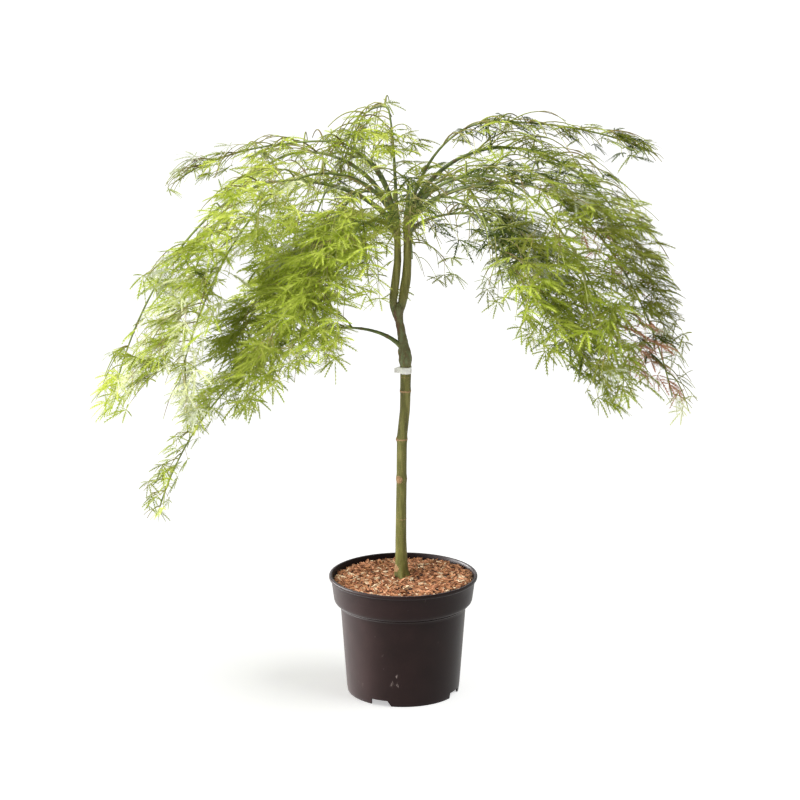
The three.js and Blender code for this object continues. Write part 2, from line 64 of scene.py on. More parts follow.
POT_OUTLINE = [  # radius, height in mm: up the outside, over the rim and down the inside
    (0, 0), (55, 0), (56, 0.4), (59.4, 10.4), (60.4, 11), (94.6, 11), (95.4, 10.2), (95.4, 0.6),
    (96, 0), (97.6, 0), (98.1, 0.6), (98.9, 6), (99.7, 13), (103.2, 61), (106.6, 108), (109.7, 151),
    (110.3, 155.5), (111.6, 157.4), (113.8, 158.6), (114.5, 159.4), (114.4, 160.3), (113.9, 160.8),
    (115.6, 161.4), (118.4, 162.8), (120.4, 165.2), (121.6, 168.6), (122.2, 173), (124.2, 188),
    (126.0, 202.2), (126.5, 203.6), (127.8, 204.6), (129.2, 205.2), (129.9, 206.2), (130, 207.6),
    (130, 209.2), (129.5, 210.4), (128.4, 211), (126.4, 211), (125.1, 210.5), (124.4, 209),
    (123.4, 203), (121.4, 188), (119.5, 173), (118.4, 168.4), (116, 165), (112.6, 163.4),
    (109.6, 161), (107.5, 155), (97.1, 14.4), (96.4, 14), (60.6, 14), (59.4, 13.4), (55.6, 3), (0, 3),
]
POT_SIDES = 144
GATES = {"count": 4, "azimuth": 247, "width": 38, "slant": 7, "height": 10, "inner": 88, "outer": 104}
SCUFFS = [(-16.5, -101.5, 41, 17), (-12.5, -102.5, 58, 9), (-75.5, -69.5, 33, 13)]  # x, y, z, reach


def mesh_of(name, corners, faces):
    """A mesh from an array of points in mm and an array of faces that all have as many sides."""
    corners = np.asarray(corners, dtype=float)
    faces = np.asarray(faces, dtype=int)
    mesh = bpy.data.meshes.new(name)
    mesh.vertices.add(len(corners))
    mesh.vertices.foreach_set("co", (corners * MM).ravel())
    mesh.loops.add(faces.size)
    mesh.loops.foreach_set("vertex_index", faces.ravel())
    mesh.polygons.add(len(faces))
    mesh.polygons.foreach_set("loop_start", np.arange(0, faces.size, faces.shape[1]))
    mesh.update(calc_edges=True)
    return mesh


def show(name, mesh, material=None):
    """Puts a mesh in the scene at the origin as a piece."""
    piece = bpy.data.objects.new(name, mesh)
    bpy.context.scene.collection.objects.link(piece)
    if material:
        mesh.materials.clear()
        mesh.materials.append(material)
    return piece


def form(name, corners, faces, material=None):
    """Puts a mesh of points in mm and faces in the scene as a piece."""
    return show(name, mesh_of(name, corners, faces), material)


def baked(piece):
    """A plain mesh of a piece with its modifiers applied, and the piece itself taken away."""
    graph = bpy.context.evaluated_depsgraph_get()
    mesh = bpy.data.meshes.new_from_object(piece.evaluated_get(graph))
    bpy.data.objects.remove(piece)
    return mesh


def feed(tree, node, inputs):
    """Sets or links a node's inputs, by name or number."""
    for key, value in inputs.items():
        if isinstance(value, bpy.types.NodeSocket):
            tree.links.new(value, node.inputs[key])
        else:
            node.inputs[key].default_value = value


def add_node(tree, kind, inputs=None, **settings):
    """Adds a node, sets its properties, and sets or links its inputs."""
    node = tree.nodes.new(kind)
    for key, value in settings.items():
        setattr(node, key, value)
    feed(tree, node, inputs or {})
    return node


def srgb(code):
    """An sRGB hex colour as linear RGBA."""
    shares = [int(code[i:i + 2], 16) / 255 for i in (1, 3, 5)]
    return tuple(s / 12.92 if s <= 0.04045 else ((s + 0.055) / 1.055) ** 2.4 for s in shares) + (1.0,)


def blank_material(name):
    """A material with only its surface shader: it, its tree, the shader, and each point's place."""
    material = bpy.data.materials.new(name)
    material.use_nodes = True
    tree = material.node_tree
    place = add_node(tree, "ShaderNodeTexCoord").outputs["Object"]
    return material, tree, tree.nodes["Principled BSDF"], place


def ramp(tree, factor, *stops):
    """A colour ramp over (place, hex) stops."""
    node = add_node(tree, "ShaderNodeValToRGB", {"Fac": factor})
    for i, (place, code) in enumerate(stops):
        element = node.color_ramp.elements[i] if i < 2 else node.color_ramp.elements.new(place)
        element.position = place
        element.color = srgb(code)
    return node.outputs["Color"]


def cloudy(tree, place, scale, detail=2.0, roughness=0.5):
    """Cloudy noise from 0 to 1, with so many clouds a metre."""
    return add_node(tree, "ShaderNodeTexNoise", {
        "Vector": place, "Scale": scale, "Detail": detail, "Roughness": roughness}).outputs["Fac"]


def drawn_out(tree, place, *scale, turn=(0, 0, 0)):
    """A place turned and scaled by axis, so that a pattern over it is drawn out one way."""
    return add_node(tree, "ShaderNodeMapping", {
        "Vector": place, "Rotation": turn, "Scale": scale}).outputs[0]


def ranged(tree, value, low, high, to_low=0.0, to_high=1.0):
    """A value between low and high brought to another range, and kept in it."""
    return add_node(tree, "ShaderNodeMapRange", {
        "Value": value, "From Min": low, "From Max": high, "To Min": to_low,
        "To Max": to_high}).outputs[0]


def maths(tree, operation, a, b):
    """One operation on two values."""
    return add_node(tree, "ShaderNodeMath", {0: a, 1: b}, operation=operation).outputs[0]


def blend(tree, factor, under, over):
    """One colour laid over another, by a factor."""
    return add_node(tree, "ShaderNodeMix", {"Factor": factor, "A": under, "B": over},
                    data_type="RGBA").outputs["Result"]


def roughen(tree, shader, height, distance, strength=1.0):
    """Raises a surface by a pattern, with the distance in metres."""
    bump = add_node(tree, "ShaderNodeBump", {
        "Height": height, "Distance": distance, "Strength": strength})
    feed(tree, shader, {"Normal": bump.outputs["Normal"]})


def lathe(outline, sides):
    """A closed turned shape: rings of the outline, with a point at each end on the axis."""
    turns = np.arange(sides) * 2 * math.pi / sides
    corners = [(0, 0, outline[0][1])]
    for radius, height in outline[1:-1]:
        corners += [(radius * math.cos(a), radius * math.sin(a), height) for a in turns]
    corners.append((0, 0, outline[-1][1]))
    faces = []
    for i in range(sides):
        j = (i + 1) % sides
        faces.append((0, 1 + j, 1 + i))
        last = 1 + (len(outline) - 3) * sides
        faces.append((len(corners) - 1, last + i, last + j))
        for ring in range(len(outline) - 3):
            a, b, c, d = (1 + ring * sides + i, 1 + ring * sides + j,
                          1 + (ring + 1) * sides + j, 1 + (ring + 1) * sides + i)
            faces += [(a, b, c), (a, c, d)]
    return corners, faces


def moulded_pot_plastic():
    """Recycled polypropylene, moulded: near black with a faint satin sheen, and lightly scuffed."""
    material, tree, shader, place = blank_material("moulded_pot_plastic")
    cloud = cloudy(tree, place, 22, detail=4)
    body = ramp(tree, cloud, (0.3, "#180c0b"), (0.7, "#201211"))
    streaks = drawn_out(tree, place, 280, 280, 60, turn=(0.0, 0.3, 0.4))
    scratch = cloudy(tree, streaks, 1, detail=6, roughness=0.7)
    marks = 0.0
    for x, y, z, reach in SCUFFS:
        away = add_node(tree, "ShaderNodeVectorMath", {0: place, 1: (x * MM, y * MM, z * MM)},
                        operation="DISTANCE")
        near = ranged(tree, away.outputs["Value"], 0.0, reach * MM, 0.2, 0.0)
        marks = maths(tree, "MAXIMUM", marks, near)
    scuff = ranged(tree, maths(tree, "ADD", scratch, marks), 0.68, 0.76)
    feed(tree, shader, {
        "Base Color": blend(tree, scuff, body, srgb("#6f6460")), "Specular IOR Level": 0.14,
        "Roughness": ranged(tree, cloud, 0.0, 1.0, 0.36, 0.5), "Sheen Weight": 0.12,
        "Sheen Roughness": 0.4})
    roughen(tree, shader, cloudy(tree, place, 900), distance=0.0003, strength=0.15)
    return material


pot_shell = form("pot_blank", *lathe(POT_OUTLINE, POT_SIDES))
half, slope, top = GATES["width"] / 2, GATES["slant"], GATES["height"]
gate_outline = [(-half, -1), (half, -1), (half - slope, top), (-half, top)]
for k in range(GATES["count"]):
    turn = math.radians(GATES["azimuth"] + 360 / GATES["count"] * k)
    outward = np.array((math.cos(turn), math.sin(turn), 0))
    sideways = np.array((-math.sin(turn), math.cos(turn), 0))
    corners = [outward * depth + sideways * x + np.array((0, 0, z))
               for depth in (GATES["inner"], GATES["outer"]) for x, z in gate_outline]
    gate = form(f"gate_{k}", corners, [
        (0, 3, 2, 1), (4, 5, 6, 7), (0, 1, 5, 4), (1, 2, 6, 5), (2, 3, 7, 6), (3, 0, 4, 7)])
    cut = pot_shell.modifiers.new(f"gate_{k}", "BOOLEAN")
    cut.operation = "DIFFERENCE"
    cut.solver = "EXACT"
    cut.object = gate
pot_mesh = baked(pot_shell)
for k in range(GATES["count"]):
    bpy.data.objects.remove(bpy.data.objects[f"gate_{k}"])
pot_mesh.shade_smooth()
pot_mesh.set_sharp_from_angle(angle=math.radians(38))
pot_shell = show("pot_shell", pot_mesh, moulded_pot_plastic())
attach(pot_shell, "root")
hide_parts("pot")

# ---- Root ball and its bark mulch --------------------------------------------------------------
# Moist compost fills the pot, and a loose layer of shredded bark chips is strewn over it. The bed
# is uneven and tilted a little, and the chips get shorter towards the pot's wall, to lie inside it.

BED = {"edge": 121.5, "height": 201.0, "tilt": 4.0, "low": -50, "rings": 40, "sides": 96}
SWELLS = {"height": 2.2, "span": 28}
CRUMBS = {"height": 1.6, "span": 7}
MOUND = {"height": 2.0, "reach": 45}  # round the stem
CHIP_LIFT = 4.5  # how far up from the bed a chip lies at most, in mm
WALL_ROOM = {"from": 105, "share": 0.3}  # the radius where chips start to shorten, and to what
CHIPS = [  # name, dry colour, dark colour, chips a square metre, shortest and longest in mm, seed
    ("bark_chips_brown", "#d6996a", "#7d4a30", 40000, 7, 23, 3),
    ("bark_chips_red", "#e8ab80", "#9a5c3c", 30000, 7, 26, 5),
    ("bark_chips_pale", "#ffe8c6", "#e6bd90", 16000, 7, 22, 8),
    ("bark_chips_dark", "#5f3926", "#2c1a12", 16000, 6, 18, 13),
]


def bed_height(x, y):
    """The height of the mulch bed, as in the root ball's solid but rougher."""
    turn = math.atan2(y, x)
    reach = math.hypot(x, y)
    tilt = BED["tilt"] * math.cos(turn - math.radians(BED["low"])) * reach / BED["edge"]
    swell = SWELLS["height"] * noise.noise(Vector((x / SWELLS["span"], y / SWELLS["span"], 3.0)))
    crumb = CRUMBS["height"] * noise.noise(Vector((x / CRUMBS["span"], y / CRUMBS["span"], 9.0)))
    mound = MOUND["height"] * max(0.0, 1 - reach / MOUND["reach"])
    return BED["height"] + tilt + swell + crumb + mound


def moist_compost():
    """Peat and bark fines: dark brown, crumbly and quite without shine."""
    material, tree, shader, place = blank_material("moist_compost")
    crumbs = cloudy(tree, place, 260, detail=5)
    feed(tree, shader, {
        "Base Color": ramp(tree, crumbs, (0.35, "#2a1a12"), (0.62, "#6d4631")), "Roughness": 0.95})
    roughen(tree, shader, crumbs, distance=0.0015)
    return material


def shredded_bark(name, dry, dark):
    """Shredded conifer bark: dull, fibrous along its length, lighter and darker in patches."""
    material, tree, shader, place = blank_material(name)
    patches = cloudy(tree, place, 130, detail=3)
    feed(tree, shader, {
        "Base Color": ramp(tree, patches, (0.34, dark), (0.62, dry)), "Roughness": 0.9})
    fibres = add_node(tree, "ShaderNodeTexWave", {"Vector": place, "Scale": 420.0, "Distortion": 7.0},
                      wave_type="BANDS")
    roughen(tree, shader, fibres.outputs["Fac"], distance=0.0006, strength=0.6)
    return material


bed_outline = [(0, 3.3), (55, 3.3), (59, 14.3), (96, 14.4), (106.6, 155), (114.8, 166), (118.4, 172),
               (BED["edge"] - 1, BED["height"] - 9), (BED["edge"], BED["height"])]
for ring in range(1, BED["rings"]):
    bed_outline.append((BED["edge"] * (1 - ring / BED["rings"]), BED["height"]))
bed_corners, bed_faces = lathe(bed_outline + [(0, BED["height"])], BED["sides"])
bed_corners = [(x, y, bed_height(x, y) if z == BED["height"] else z) for x, y, z in bed_corners]
compost = form("compost_bed", bed_corners, bed_faces, moist_compost())
compost.data.shade_smooth()
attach(compost, "root")
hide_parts("root_ball")

# One sliver of bark, 1 mm long: a bent board with split ends, for the chips to be scaled from.
SLIVER = np.array([(-0.5, -0.28, 0), (-0.5, 0.3, 0.1), (-0.08, 0.5, 0.3), (0.24, 0.42, 0.3),
                   (0.5, 0.12, 0), (0.5, -0.2, -0.1), (0.1, -0.5, 0.25), (-0.2, -0.44, 0.3)])
sliver_corners = [(x * 1000, y * 1000, (z + s) * 1000) for s in (-0.5, 0.5) for x, y, z in SLIVER]
rim_faces = [(i, (i + 1) % 8, (i + 1) % 8 + 8) for i in range(8)]
rim_faces += [(i, (i + 1) % 8 + 8, i + 8) for i in range(8)]
cap_faces = [(8, 8 + i + 1, 8 + i) for i in range(1, 7)] + [(0, i, i + 1) for i in range(1, 7)]
sliver = form("sliver", sliver_corners, rim_faces + cap_faces)
bed_top = form("bed_top", bed_corners, [
    face for face in bed_faces if min(bed_corners[i][2] for i in face) > BED["height"] - 8])


def geometry_tree(name, **inputs):
    """A tree of geometry nodes with its named inputs, and those inputs inside it."""
    tree = bpy.data.node_groups.new(name, "GeometryNodeTree")
    for socket, kind in dict(Geometry="Geometry", **inputs).items():
        tree.interface.new_socket(socket, in_out="INPUT", socket_type=f"NodeSocket{kind}")
    tree.interface.new_socket("Geometry", in_out="OUTPUT", socket_type="NodeSocketGeometry")
    return tree, add_node(tree, "NodeGroupInput").outputs


def realized(tree, shape, material):
    """Ends a tree: its shape is made real and given its material."""
    real = add_node(tree, "GeometryNodeRealizeInstances", {0: shape.outputs[0]})
    painted = add_node(tree, "GeometryNodeSetMaterial", {0: real.outputs[0], "Material": material})
    add_node(tree, "NodeGroupOutput", {0: painted.outputs[0]})
    return tree


def strewn_chips():
    """A tree that strews slivers over a surface, each turned, tilted and sized by chance."""
    tree, given = geometry_tree(
        "strewn_chips", Sliver="Object", Chips_a_square_metre="Float", Shortest="Float",
        Longest="Float", Lift="Float", Seed="Int", Material="Material")

    def by_chance(kind, first, low, high):
        """A random number or vector; first is the place of its low input."""
        return add_node(tree, "FunctionNodeRandomValue", {
            first: low, first + 1: high, "Seed": given["Seed"]}, data_type=kind)

    spots = add_node(tree, "GeometryNodeDistributePointsOnFaces", {
        "Mesh": given["Geometry"], "Density": given["Chips_a_square_metre"], "Seed": given["Seed"]})
    shape = add_node(tree, "GeometryNodeObjectInfo", {"Object": given["Sliver"]})
    lie = by_chance("FLOAT_VECTOR", 0, (-0.42, -0.5, 0.0), (0.42, 0.5, 6.28))
    length = by_chance("FLOAT", 2, given["Shortest"], given["Longest"])
    slim = by_chance("FLOAT_VECTOR", 0, (1.0, 0.11, 0.06), (1.0, 0.32, 0.14))
    spot = add_node(tree, "GeometryNodeInputPosition")
    level = add_node(tree, "ShaderNodeVectorMath", {0: spot.outputs[0], 1: (1, 1, 0)},
                     operation="MULTIPLY")
    span = add_node(tree, "ShaderNodeVectorMath", {0: level.outputs[0]}, operation="LENGTH")
    room = ranged(tree, span.outputs["Value"], WALL_ROOM["from"] * MM, BED["edge"] * MM, 1.0,
                  WALL_ROOM["share"])
    size = add_node(tree, "ShaderNodeVectorMath", {
        0: slim.outputs[0], "Scale": maths(tree, "MULTIPLY", length.outputs[1], room)},
        operation="SCALE")
    turned = add_node(tree, "FunctionNodeEulerToRotation", {0: lie.outputs[0]})
    laid = add_node(tree, "GeometryNodeInstanceOnPoints", {
        "Points": spots.outputs["Points"], "Instance": shape.outputs["Geometry"],
        "Rotation": turned.outputs[0], "Scale": size.outputs[0]})
    rise = by_chance("FLOAT", 2, 0.0, given["Lift"])
    upward = add_node(tree, "ShaderNodeCombineXYZ", {"Z": rise.outputs[1]})
    lifted = add_node(tree, "GeometryNodeTranslateInstances", {
        0: laid.outputs[0], "Translation": upward.outputs[0], "Local Space": False})
    return realized(tree, lifted, given["Material"])


def grow_with(tree, piece, **given):
    """Runs a geometry tree on a piece, its named inputs given, and returns the plain mesh."""
    modifier = piece.modifiers.new(tree.name, "NODES")
    modifier.node_group = tree
    sockets = {item.name: item.identifier for item in tree.interface.items_tree
               if item.in_out == "INPUT"}
    for name, value in given.items():
        modifier[sockets[name]] = value
    return baked(piece)


chip_tree = strewn_chips()
for name, dry, dark, density, shortest, longest, seed in CHIPS:
    bed_copy = show(name, bed_top.data.copy())
    chips = grow_with(chip_tree, bed_copy, Sliver=sliver, Chips_a_square_metre=float(density),
                      Shortest=shortest * MM, Longest=longest * MM, Lift=CHIP_LIFT * MM, Seed=seed,
                      Material=shredded_bark(name.replace("chips", "chip"), dry, dark))
    chips = show(name, chips)
    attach(chips, "root")
    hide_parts("root_ball")
bpy.data.objects.remove(sliver)
bpy.data.objects.remove(bed_top)

# ---- Stem and leaders --------------------------------------------------------------------------
# The rootstock's stem: smooth olive bark with tan rings where its bud scales fell, two knobbly
# scars, a slight flare at its foot, and a swollen graft under the fork with rough reddish bark.

TRUNK = [  # height, x, y, radius in mm
    (203.3, -2, 0, 15.5), (209, -2.4, 0, 13), (222, -3, 0, 11), (273, -4.2, 0, 9.7), (340, -3.4, 1, 9),
    (378, -2.8, 1, 9), (384, -2.9, 1, 10.1), (392, -2.8, 1, 8.9), (448, -2.3, 1, 8.7),
    (455, -2.2, 1, 9.8), (463, -1.8, 1, 8.8), (507, 3, 0, 8.7), (536, 3.6, 0, 8.8), (541, 3.7, 0, 9.8),
    (547, 3.8, 0, 8.9), (584, 4.2, 0, 9.3), (595, 3.8, 0, 11.2), (606, 3, 0, 11), (622, 0.4, 0, 8.4),
    (648, -3.9, 0, 7), (668, -7.7, 0, 7.3), (680, -9.6, 0, 10), (688, -10, 0, 13),
]
LEADERS = {  # rows as the trunk's
    "left": [(688.3, -16.6, -1, 6.1), (702, -17.2, -1, 6.8), (735, -13.2, -2, 7.1),
             (770, -9.4, -3, 6.3), (797, -9.6, -4, 5.6), (822, -10.5, -4, 6.2), (846, -11.5, -2, 5.6)],
    "right": [(688.3, -3.2, 1, 6.5), (702, -0.6, 1, 7.9), (735, 5, 2, 8.1), (766, 6.9, 3, 7),
              (797, 6.6, 4, 6.3), (824, 6, 4, 6.8), (850, 7, 2, 6.2)],
}
RINGS = [(312, 0.5), (384, 0.3), (455, 0.9), (541, 1.0), (566, 0.4)]  # height, how plain to see
SCARS = [(223, 200, 7), (384, 236, 7), (455, 190, 4), (609, 160, 6)]  # height, azimuth, size in mm
FLARE = {"top": 232, "lobes": 5, "depth": 2.08}
GRAFT = {"bottom": 578, "fade": 14}  # where the rough bark starts, and over what height
STEM_RADIUS = 9.5


def tube_faces(rings, sides):
    """Triangles of a tube of rings of points, closed by a point at each end."""
    ring, side = np.meshgrid(np.arange(rings - 1), np.arange(sides), indexing="ij")
    onward = (side + 1) % sides
    a, b = ring * sides + side, ring * sides + onward
    c, d = (ring + 1) * sides + onward, (ring + 1) * sides + side
    walls = np.concatenate([np.stack(corners, -1).reshape(-1, 3) for corners in ((a, b, c), (a, c, d))])
    i = np.arange(sides)
    j = (i + 1) % sides
    foot = np.stack([np.full(sides, rings * sides), j, i], -1)
    last = (rings - 1) * sides
    head = np.stack([np.full(sides, rings * sides + 1), last + i, last + j], -1)
    return np.concatenate([walls, foot, head])


def limb(centres, radii, sides, across, relief=None):
    """A closed limb round a path, as points and faces; relief is added to its radii."""
    centres = np.asarray(centres, dtype=float)
    ahead = np.gradient(centres, axis=0)
    ahead /= np.linalg.norm(ahead, axis=1, keepdims=True)
    side = across - (ahead @ across)[:, None] * ahead
    side /= np.linalg.norm(side, axis=1, keepdims=True)
    over = np.cross(ahead, side)
    turns = np.arange(sides) * 2 * math.pi / sides
    spokes = side[:, None] * np.cos(turns)[None, :, None] + over[:, None] * np.sin(turns)[None, :, None]
    reach = np.repeat(np.asarray(radii, dtype=float)[:, None], sides, axis=1)
    if relief is not None:
        reach = reach + relief(centres[:, None] + spokes * reach[:, :, None], turns)
    corners = (centres[:, None] + spokes * reach[:, :, None]).reshape(-1, 3)
    return np.concatenate([corners, centres[:1], centres[-1:]]), tube_faces(len(centres), sides)


def paint(mesh, name, values):
    """Gives a mesh one number a point, for its material to read."""
    numbers = mesh.attributes.new(name, "FLOAT", "POINT")
    numbers.data.foreach_set("value", np.asarray(values, dtype=float))


def smoothed(rows, step, spread):
    """Level rings [height, x, y, radius] run out finely and softened, as centres and radii."""
    rows = np.array(rows, dtype=float)
    heights = np.arange(rows[0, 0], rows[-1, 0], step)
    values = np.stack([np.interp(heights, rows[:, 0], rows[:, k]) for k in (1, 2, 3)], -1)
    weights = np.exp(-0.5 * (np.arange(-3 * spread, 3 * spread + step, step) / spread) ** 2)
    pad = len(weights) // 2
    padded = np.pad(values, ((pad, pad), (0, 0)), mode="edge")
    soft = np.stack([np.convolve(padded[:, k], weights / weights.sum(), "valid") for k in range(3)], -1)
    soft = soft[:len(heights)]
    return np.column_stack([soft[:, 0], soft[:, 1], heights]), soft[:, 2]


def wander(spots, across_mm, along_mm, seed):
    """Smooth noise from -1 to 1 at each spot, drawn out along the height."""
    flat = spots.reshape(-1, 3)
    values = [noise.noise(Vector((x / across_mm, y / across_mm, z / along_mm + seed)))
              for x, y, z in flat]
    return np.array(values).reshape(spots.shape[:-1])


def scar_share(spots, turns):
    """How much each spot lies on a scar, from 0 to 1."""
    share = np.zeros(spots.shape[:-1])
    for height, azimuth, size in SCARS:
        off = (turns - math.radians(azimuth) + math.pi) % (2 * math.pi) - math.pi
        away = np.hypot(spots[..., 2] - height, off * STEM_RADIUS)
        share = np.maximum(share, np.clip(1.35 - away / size, 0, 1))
    return share


def ring_share(heights, width):
    """How much each height lies on one of the stem's rings."""
    return sum(plain * np.exp(-((heights - at) / width) ** 2) for at, plain in RINGS)


def graft_share(heights):
    """How far up into the rough bark of the graft and fork each height is."""
    return np.clip((heights - GRAFT["bottom"]) / GRAFT["fade"], 0, 1)


def stem_relief(spots, turns):
    """The stem's root flares, fluting, knobbly scars, rough graft and rings, in mm."""
    heights = spots[..., 2]
    lobes = np.clip((FLARE["top"] - heights) / (FLARE["top"] - TRUNK[0][0]), 0, 1)
    flare = FLARE["depth"] * lobes * np.cos(FLARE["lobes"] * (turns + math.pi / 2))
    fluting = 0.35 * wander(spots, 9, 70, 1) + 0.16 * wander(spots, 2.5, 14, 4)
    knobs = scar_share(spots, turns) * (1.1 + 1.0 * wander(spots, 2.2, 2.2, 8))
    rough = graft_share(heights) * (0.9 * wander(spots, 5, 9, 5) + 0.5 * wander(spots, 2, 4, 6))
    return flare + fluting + knobs + rough + 0.45 * ring_share(heights, 1.1)


def painted_on(tree, name):
    """The number that paint gave to each point of the mesh."""
    return add_node(tree, "ShaderNodeAttribute", attribute_name=name).outputs["Fac"]


def green_stem_bark():
    """Young maple bark: smooth olive green, finely fissured, with corky tan scars and lenticels. At
    the graft it turns grey green, with reddish-brown cork in streaks."""
    material, tree, shader, place = blank_material("green_stem_bark")
    grain = cloudy(tree, drawn_out(tree, place, 160, 160, 22), 1, detail=5)
    green = ramp(tree, grain, (0.3, "#4f4d22"), (0.5, "#6a682f"), (0.72, "#888449"))
    cork = cloudy(tree, drawn_out(tree, place, 110, 110, 34), 1, detail=6, roughness=0.65)
    old = ramp(tree, cork, (0.36, "#654535"), (0.47, "#625d3a"), (0.6, "#707b54"))
    bark = blend(tree, painted_on(tree, "graft"), green, old)
    lenticel = add_node(tree, "ShaderNodeTexVoronoi", {
        "Vector": drawn_out(tree, place, 330, 330, 900), "Scale": 0.55})
    dot = ranged(tree, lenticel.outputs["Distance"], 0.16, 0.24, 0.55, 0.0)
    ragged = cloudy(tree, place, 520, detail=4)
    torn = maths(tree, "ADD", painted_on(tree, "tan"), maths(tree, "ADD", ragged, -0.5))
    corky = maths(tree, "MAXIMUM", ranged(tree, torn, 0.25, 0.5), dot)
    scar = ramp(tree, ragged, (0.35, "#7d5a3c"), (0.6, "#b9946a"))
    feed(tree, shader, {"Base Color": blend(tree, corky, bark, scar), "Roughness": 0.62,
                        "Specular IOR Level": 0.35})
    roughen(tree, shader, grain, distance=0.0008, strength=0.5)
    return material


stem_bark = green_stem_bark()
SIDE_TO_SIDE = np.array((1.0, 0.0, 0.0))
stem_rows = TRUNK[:-2] + [(676, -9.2, 0, 9.2), (684, -9.8, 0, 11.5), (690, -10, 0, 10),
                          (695, -10, 0, 5.5), (697, -10, 0, 1.5)]  # rounded over inside the fork
centres, radii = smoothed(stem_rows, 1.3, 2.2)
corners, faces = limb(centres, radii, 44, SIDE_TO_SIDE, stem_relief)
stem = form("stem", corners, faces, stem_bark)
around = np.arctan2(corners[:, 1] - np.interp(corners[:, 2], centres[:, 2], centres[:, 1]),
                    corners[:, 0] - np.interp(corners[:, 2], centres[:, 2], centres[:, 0]))
paint(stem.data, "tan", np.maximum(scar_share(corners, around), 0.9 * ring_share(corners[:, 2], 1.2)))
paint(stem.data, "graft", graft_share(corners[:, 2]))
stem.data.shade_smooth()
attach(stem, "root")
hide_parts("trunk")


def leader_relief(spots, turns):
    """Shallow fluting on a leader, in mm."""
    return 0.5 * wander(spots, 8, 60, 11) + 0.25 * wander(spots, 3, 12, 14)


for side, rows in LEADERS.items():
    low, high = rows[0], rows[-1]
    rooted = [(672, 0.4 * low[1] - 6, 0, 4.5)] + rows  # from inside the graft
    crowned = rooted + [(high[0] + 5, high[1], high[2], 5.2), (high[0] + 9, high[1], high[2], 3),
                        (high[0] + 11, high[1], high[2], 0.8)]
    centres, radii = smoothed(crowned, 2.0, 4.0)
    corners, faces = limb(centres, radii, 28, SIDE_TO_SIDE, leader_relief)
    leader = form(f"{side}_leader_bark", corners, faces, stem_bark)
    paint(leader.data, "tan", 0.3 * np.clip(wander(corners, 6, 9, 21), 0, 1))
    paint(leader.data, "graft", np.clip((712 - corners[:, 2]) / 30, 0, 0.9))
    leader.data.shade_smooth()
    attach(leader, "root")
    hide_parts(f"{side}_leader")

# ---- Label band --------------------------------------------------------------------------------
# A blank strip of matt white vinyl, folded round the stem under the graft. Its two ends are
# pressed together and stand out to the left as a short crumpled tail.

BAND = {"x": 4.2, "bottom": 572.4, "height": 11.4, "proud": 0.9, "thickness": 0.35,
        "rows": 7, "steps": 56}
TAIL = {"start": 10.2, "length": 9.5, "gap": 0.75, "closing": 0.4, "crimp": 0.35, "pinch": 0.3,
        "sag": 1.4, "steps": 8}


def white_vinyl():
    """Printable label vinyl, left blank: matt white, a little creased and grubby at its edges."""
    material, tree, shader, place = blank_material("white_vinyl")
    grime = cloudy(tree, place, 150, detail=4)
    feed(tree, shader, {
        "Base Color": ramp(tree, grime, (0.3, "#d9d6cd"), (0.5, "#f1f0ea")), "Roughness": 0.5})
    return material


band_points = []
middle = BAND["height"] / 2
for row in range(BAND["rows"]):
    height = BAND["bottom"] + BAND["height"] * row / (BAND["rows"] - 1)
    for step in range(BAND["steps"]):
        turn = math.pi + 2 * math.pi * (step + 0.5) / BAND["steps"]
        wave = 0.25 * noise.noise(Vector((math.cos(turn) * 2, math.sin(turn) * 2, height / 5)))
        reach = STEM_RADIUS + BAND["proud"] + wave
        band_points.append((BAND["x"] + reach * math.cos(turn), reach * math.sin(turn), height))
band_faces = []
for start in range(0, (BAND["rows"] - 1) * BAND["steps"], BAND["steps"]):
    band_faces += [(a, a + 1, a + 1 + BAND["steps"], a + BAND["steps"])
                   for a in range(start, start + BAND["steps"] - 1)]
tail_start = len(band_points)
for row in range(BAND["rows"]):
    height = BAND["bottom"] + BAND["height"] * row / (BAND["rows"] - 1)
    for end in (-1, 1):
        for step in range(TAIL["steps"]):
            share = step / (TAIL["steps"] - 1)
            crimp = TAIL["crimp"] * math.sin(share * 9 + row)
            squeezed = (height - BAND["bottom"] - middle) * (1 - TAIL["pinch"] * share)
            band_points.append((BAND["x"] - TAIL["start"] - share * TAIL["length"],
                                end * (TAIL["gap"] - TAIL["closing"] * share) + crimp,
                                BAND["bottom"] + middle + squeezed - TAIL["sag"] * share * share))
row_width = 2 * TAIL["steps"]
for row in range(BAND["rows"] - 1):
    first = tail_start + row * row_width
    second = first + TAIL["steps"]
    for start, way in ((first, -1), (second, 1)):
        for a in range(start, start + TAIL["steps"] - 1):
            band_faces.append((a, a + 1, a + 1 + row_width, a + row_width)[::way])
    near, far = row * BAND["steps"], (row + 1) * BAND["steps"] - 1
    band_faces.append((first + row_width, near + BAND["steps"], near, first))
    band_faces.append((far + BAND["steps"], second + row_width, second, far))
band = form("label_strip", band_points, band_faces, white_vinyl())
thick = band.modifiers.new("thickness", "SOLIDIFY")
thick.thickness = BAND["thickness"] * MM
band.data.shade_smooth()
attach(band, "root")
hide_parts("label_band")

# ---- Boughs ------------------------------------------------------------------------------------
# Each bough springs from a leader, or from the graft, with a swollen collar, rises to a crest and
# arches over. Its bark is smooth dark olive, with faint rings and reddish joints.

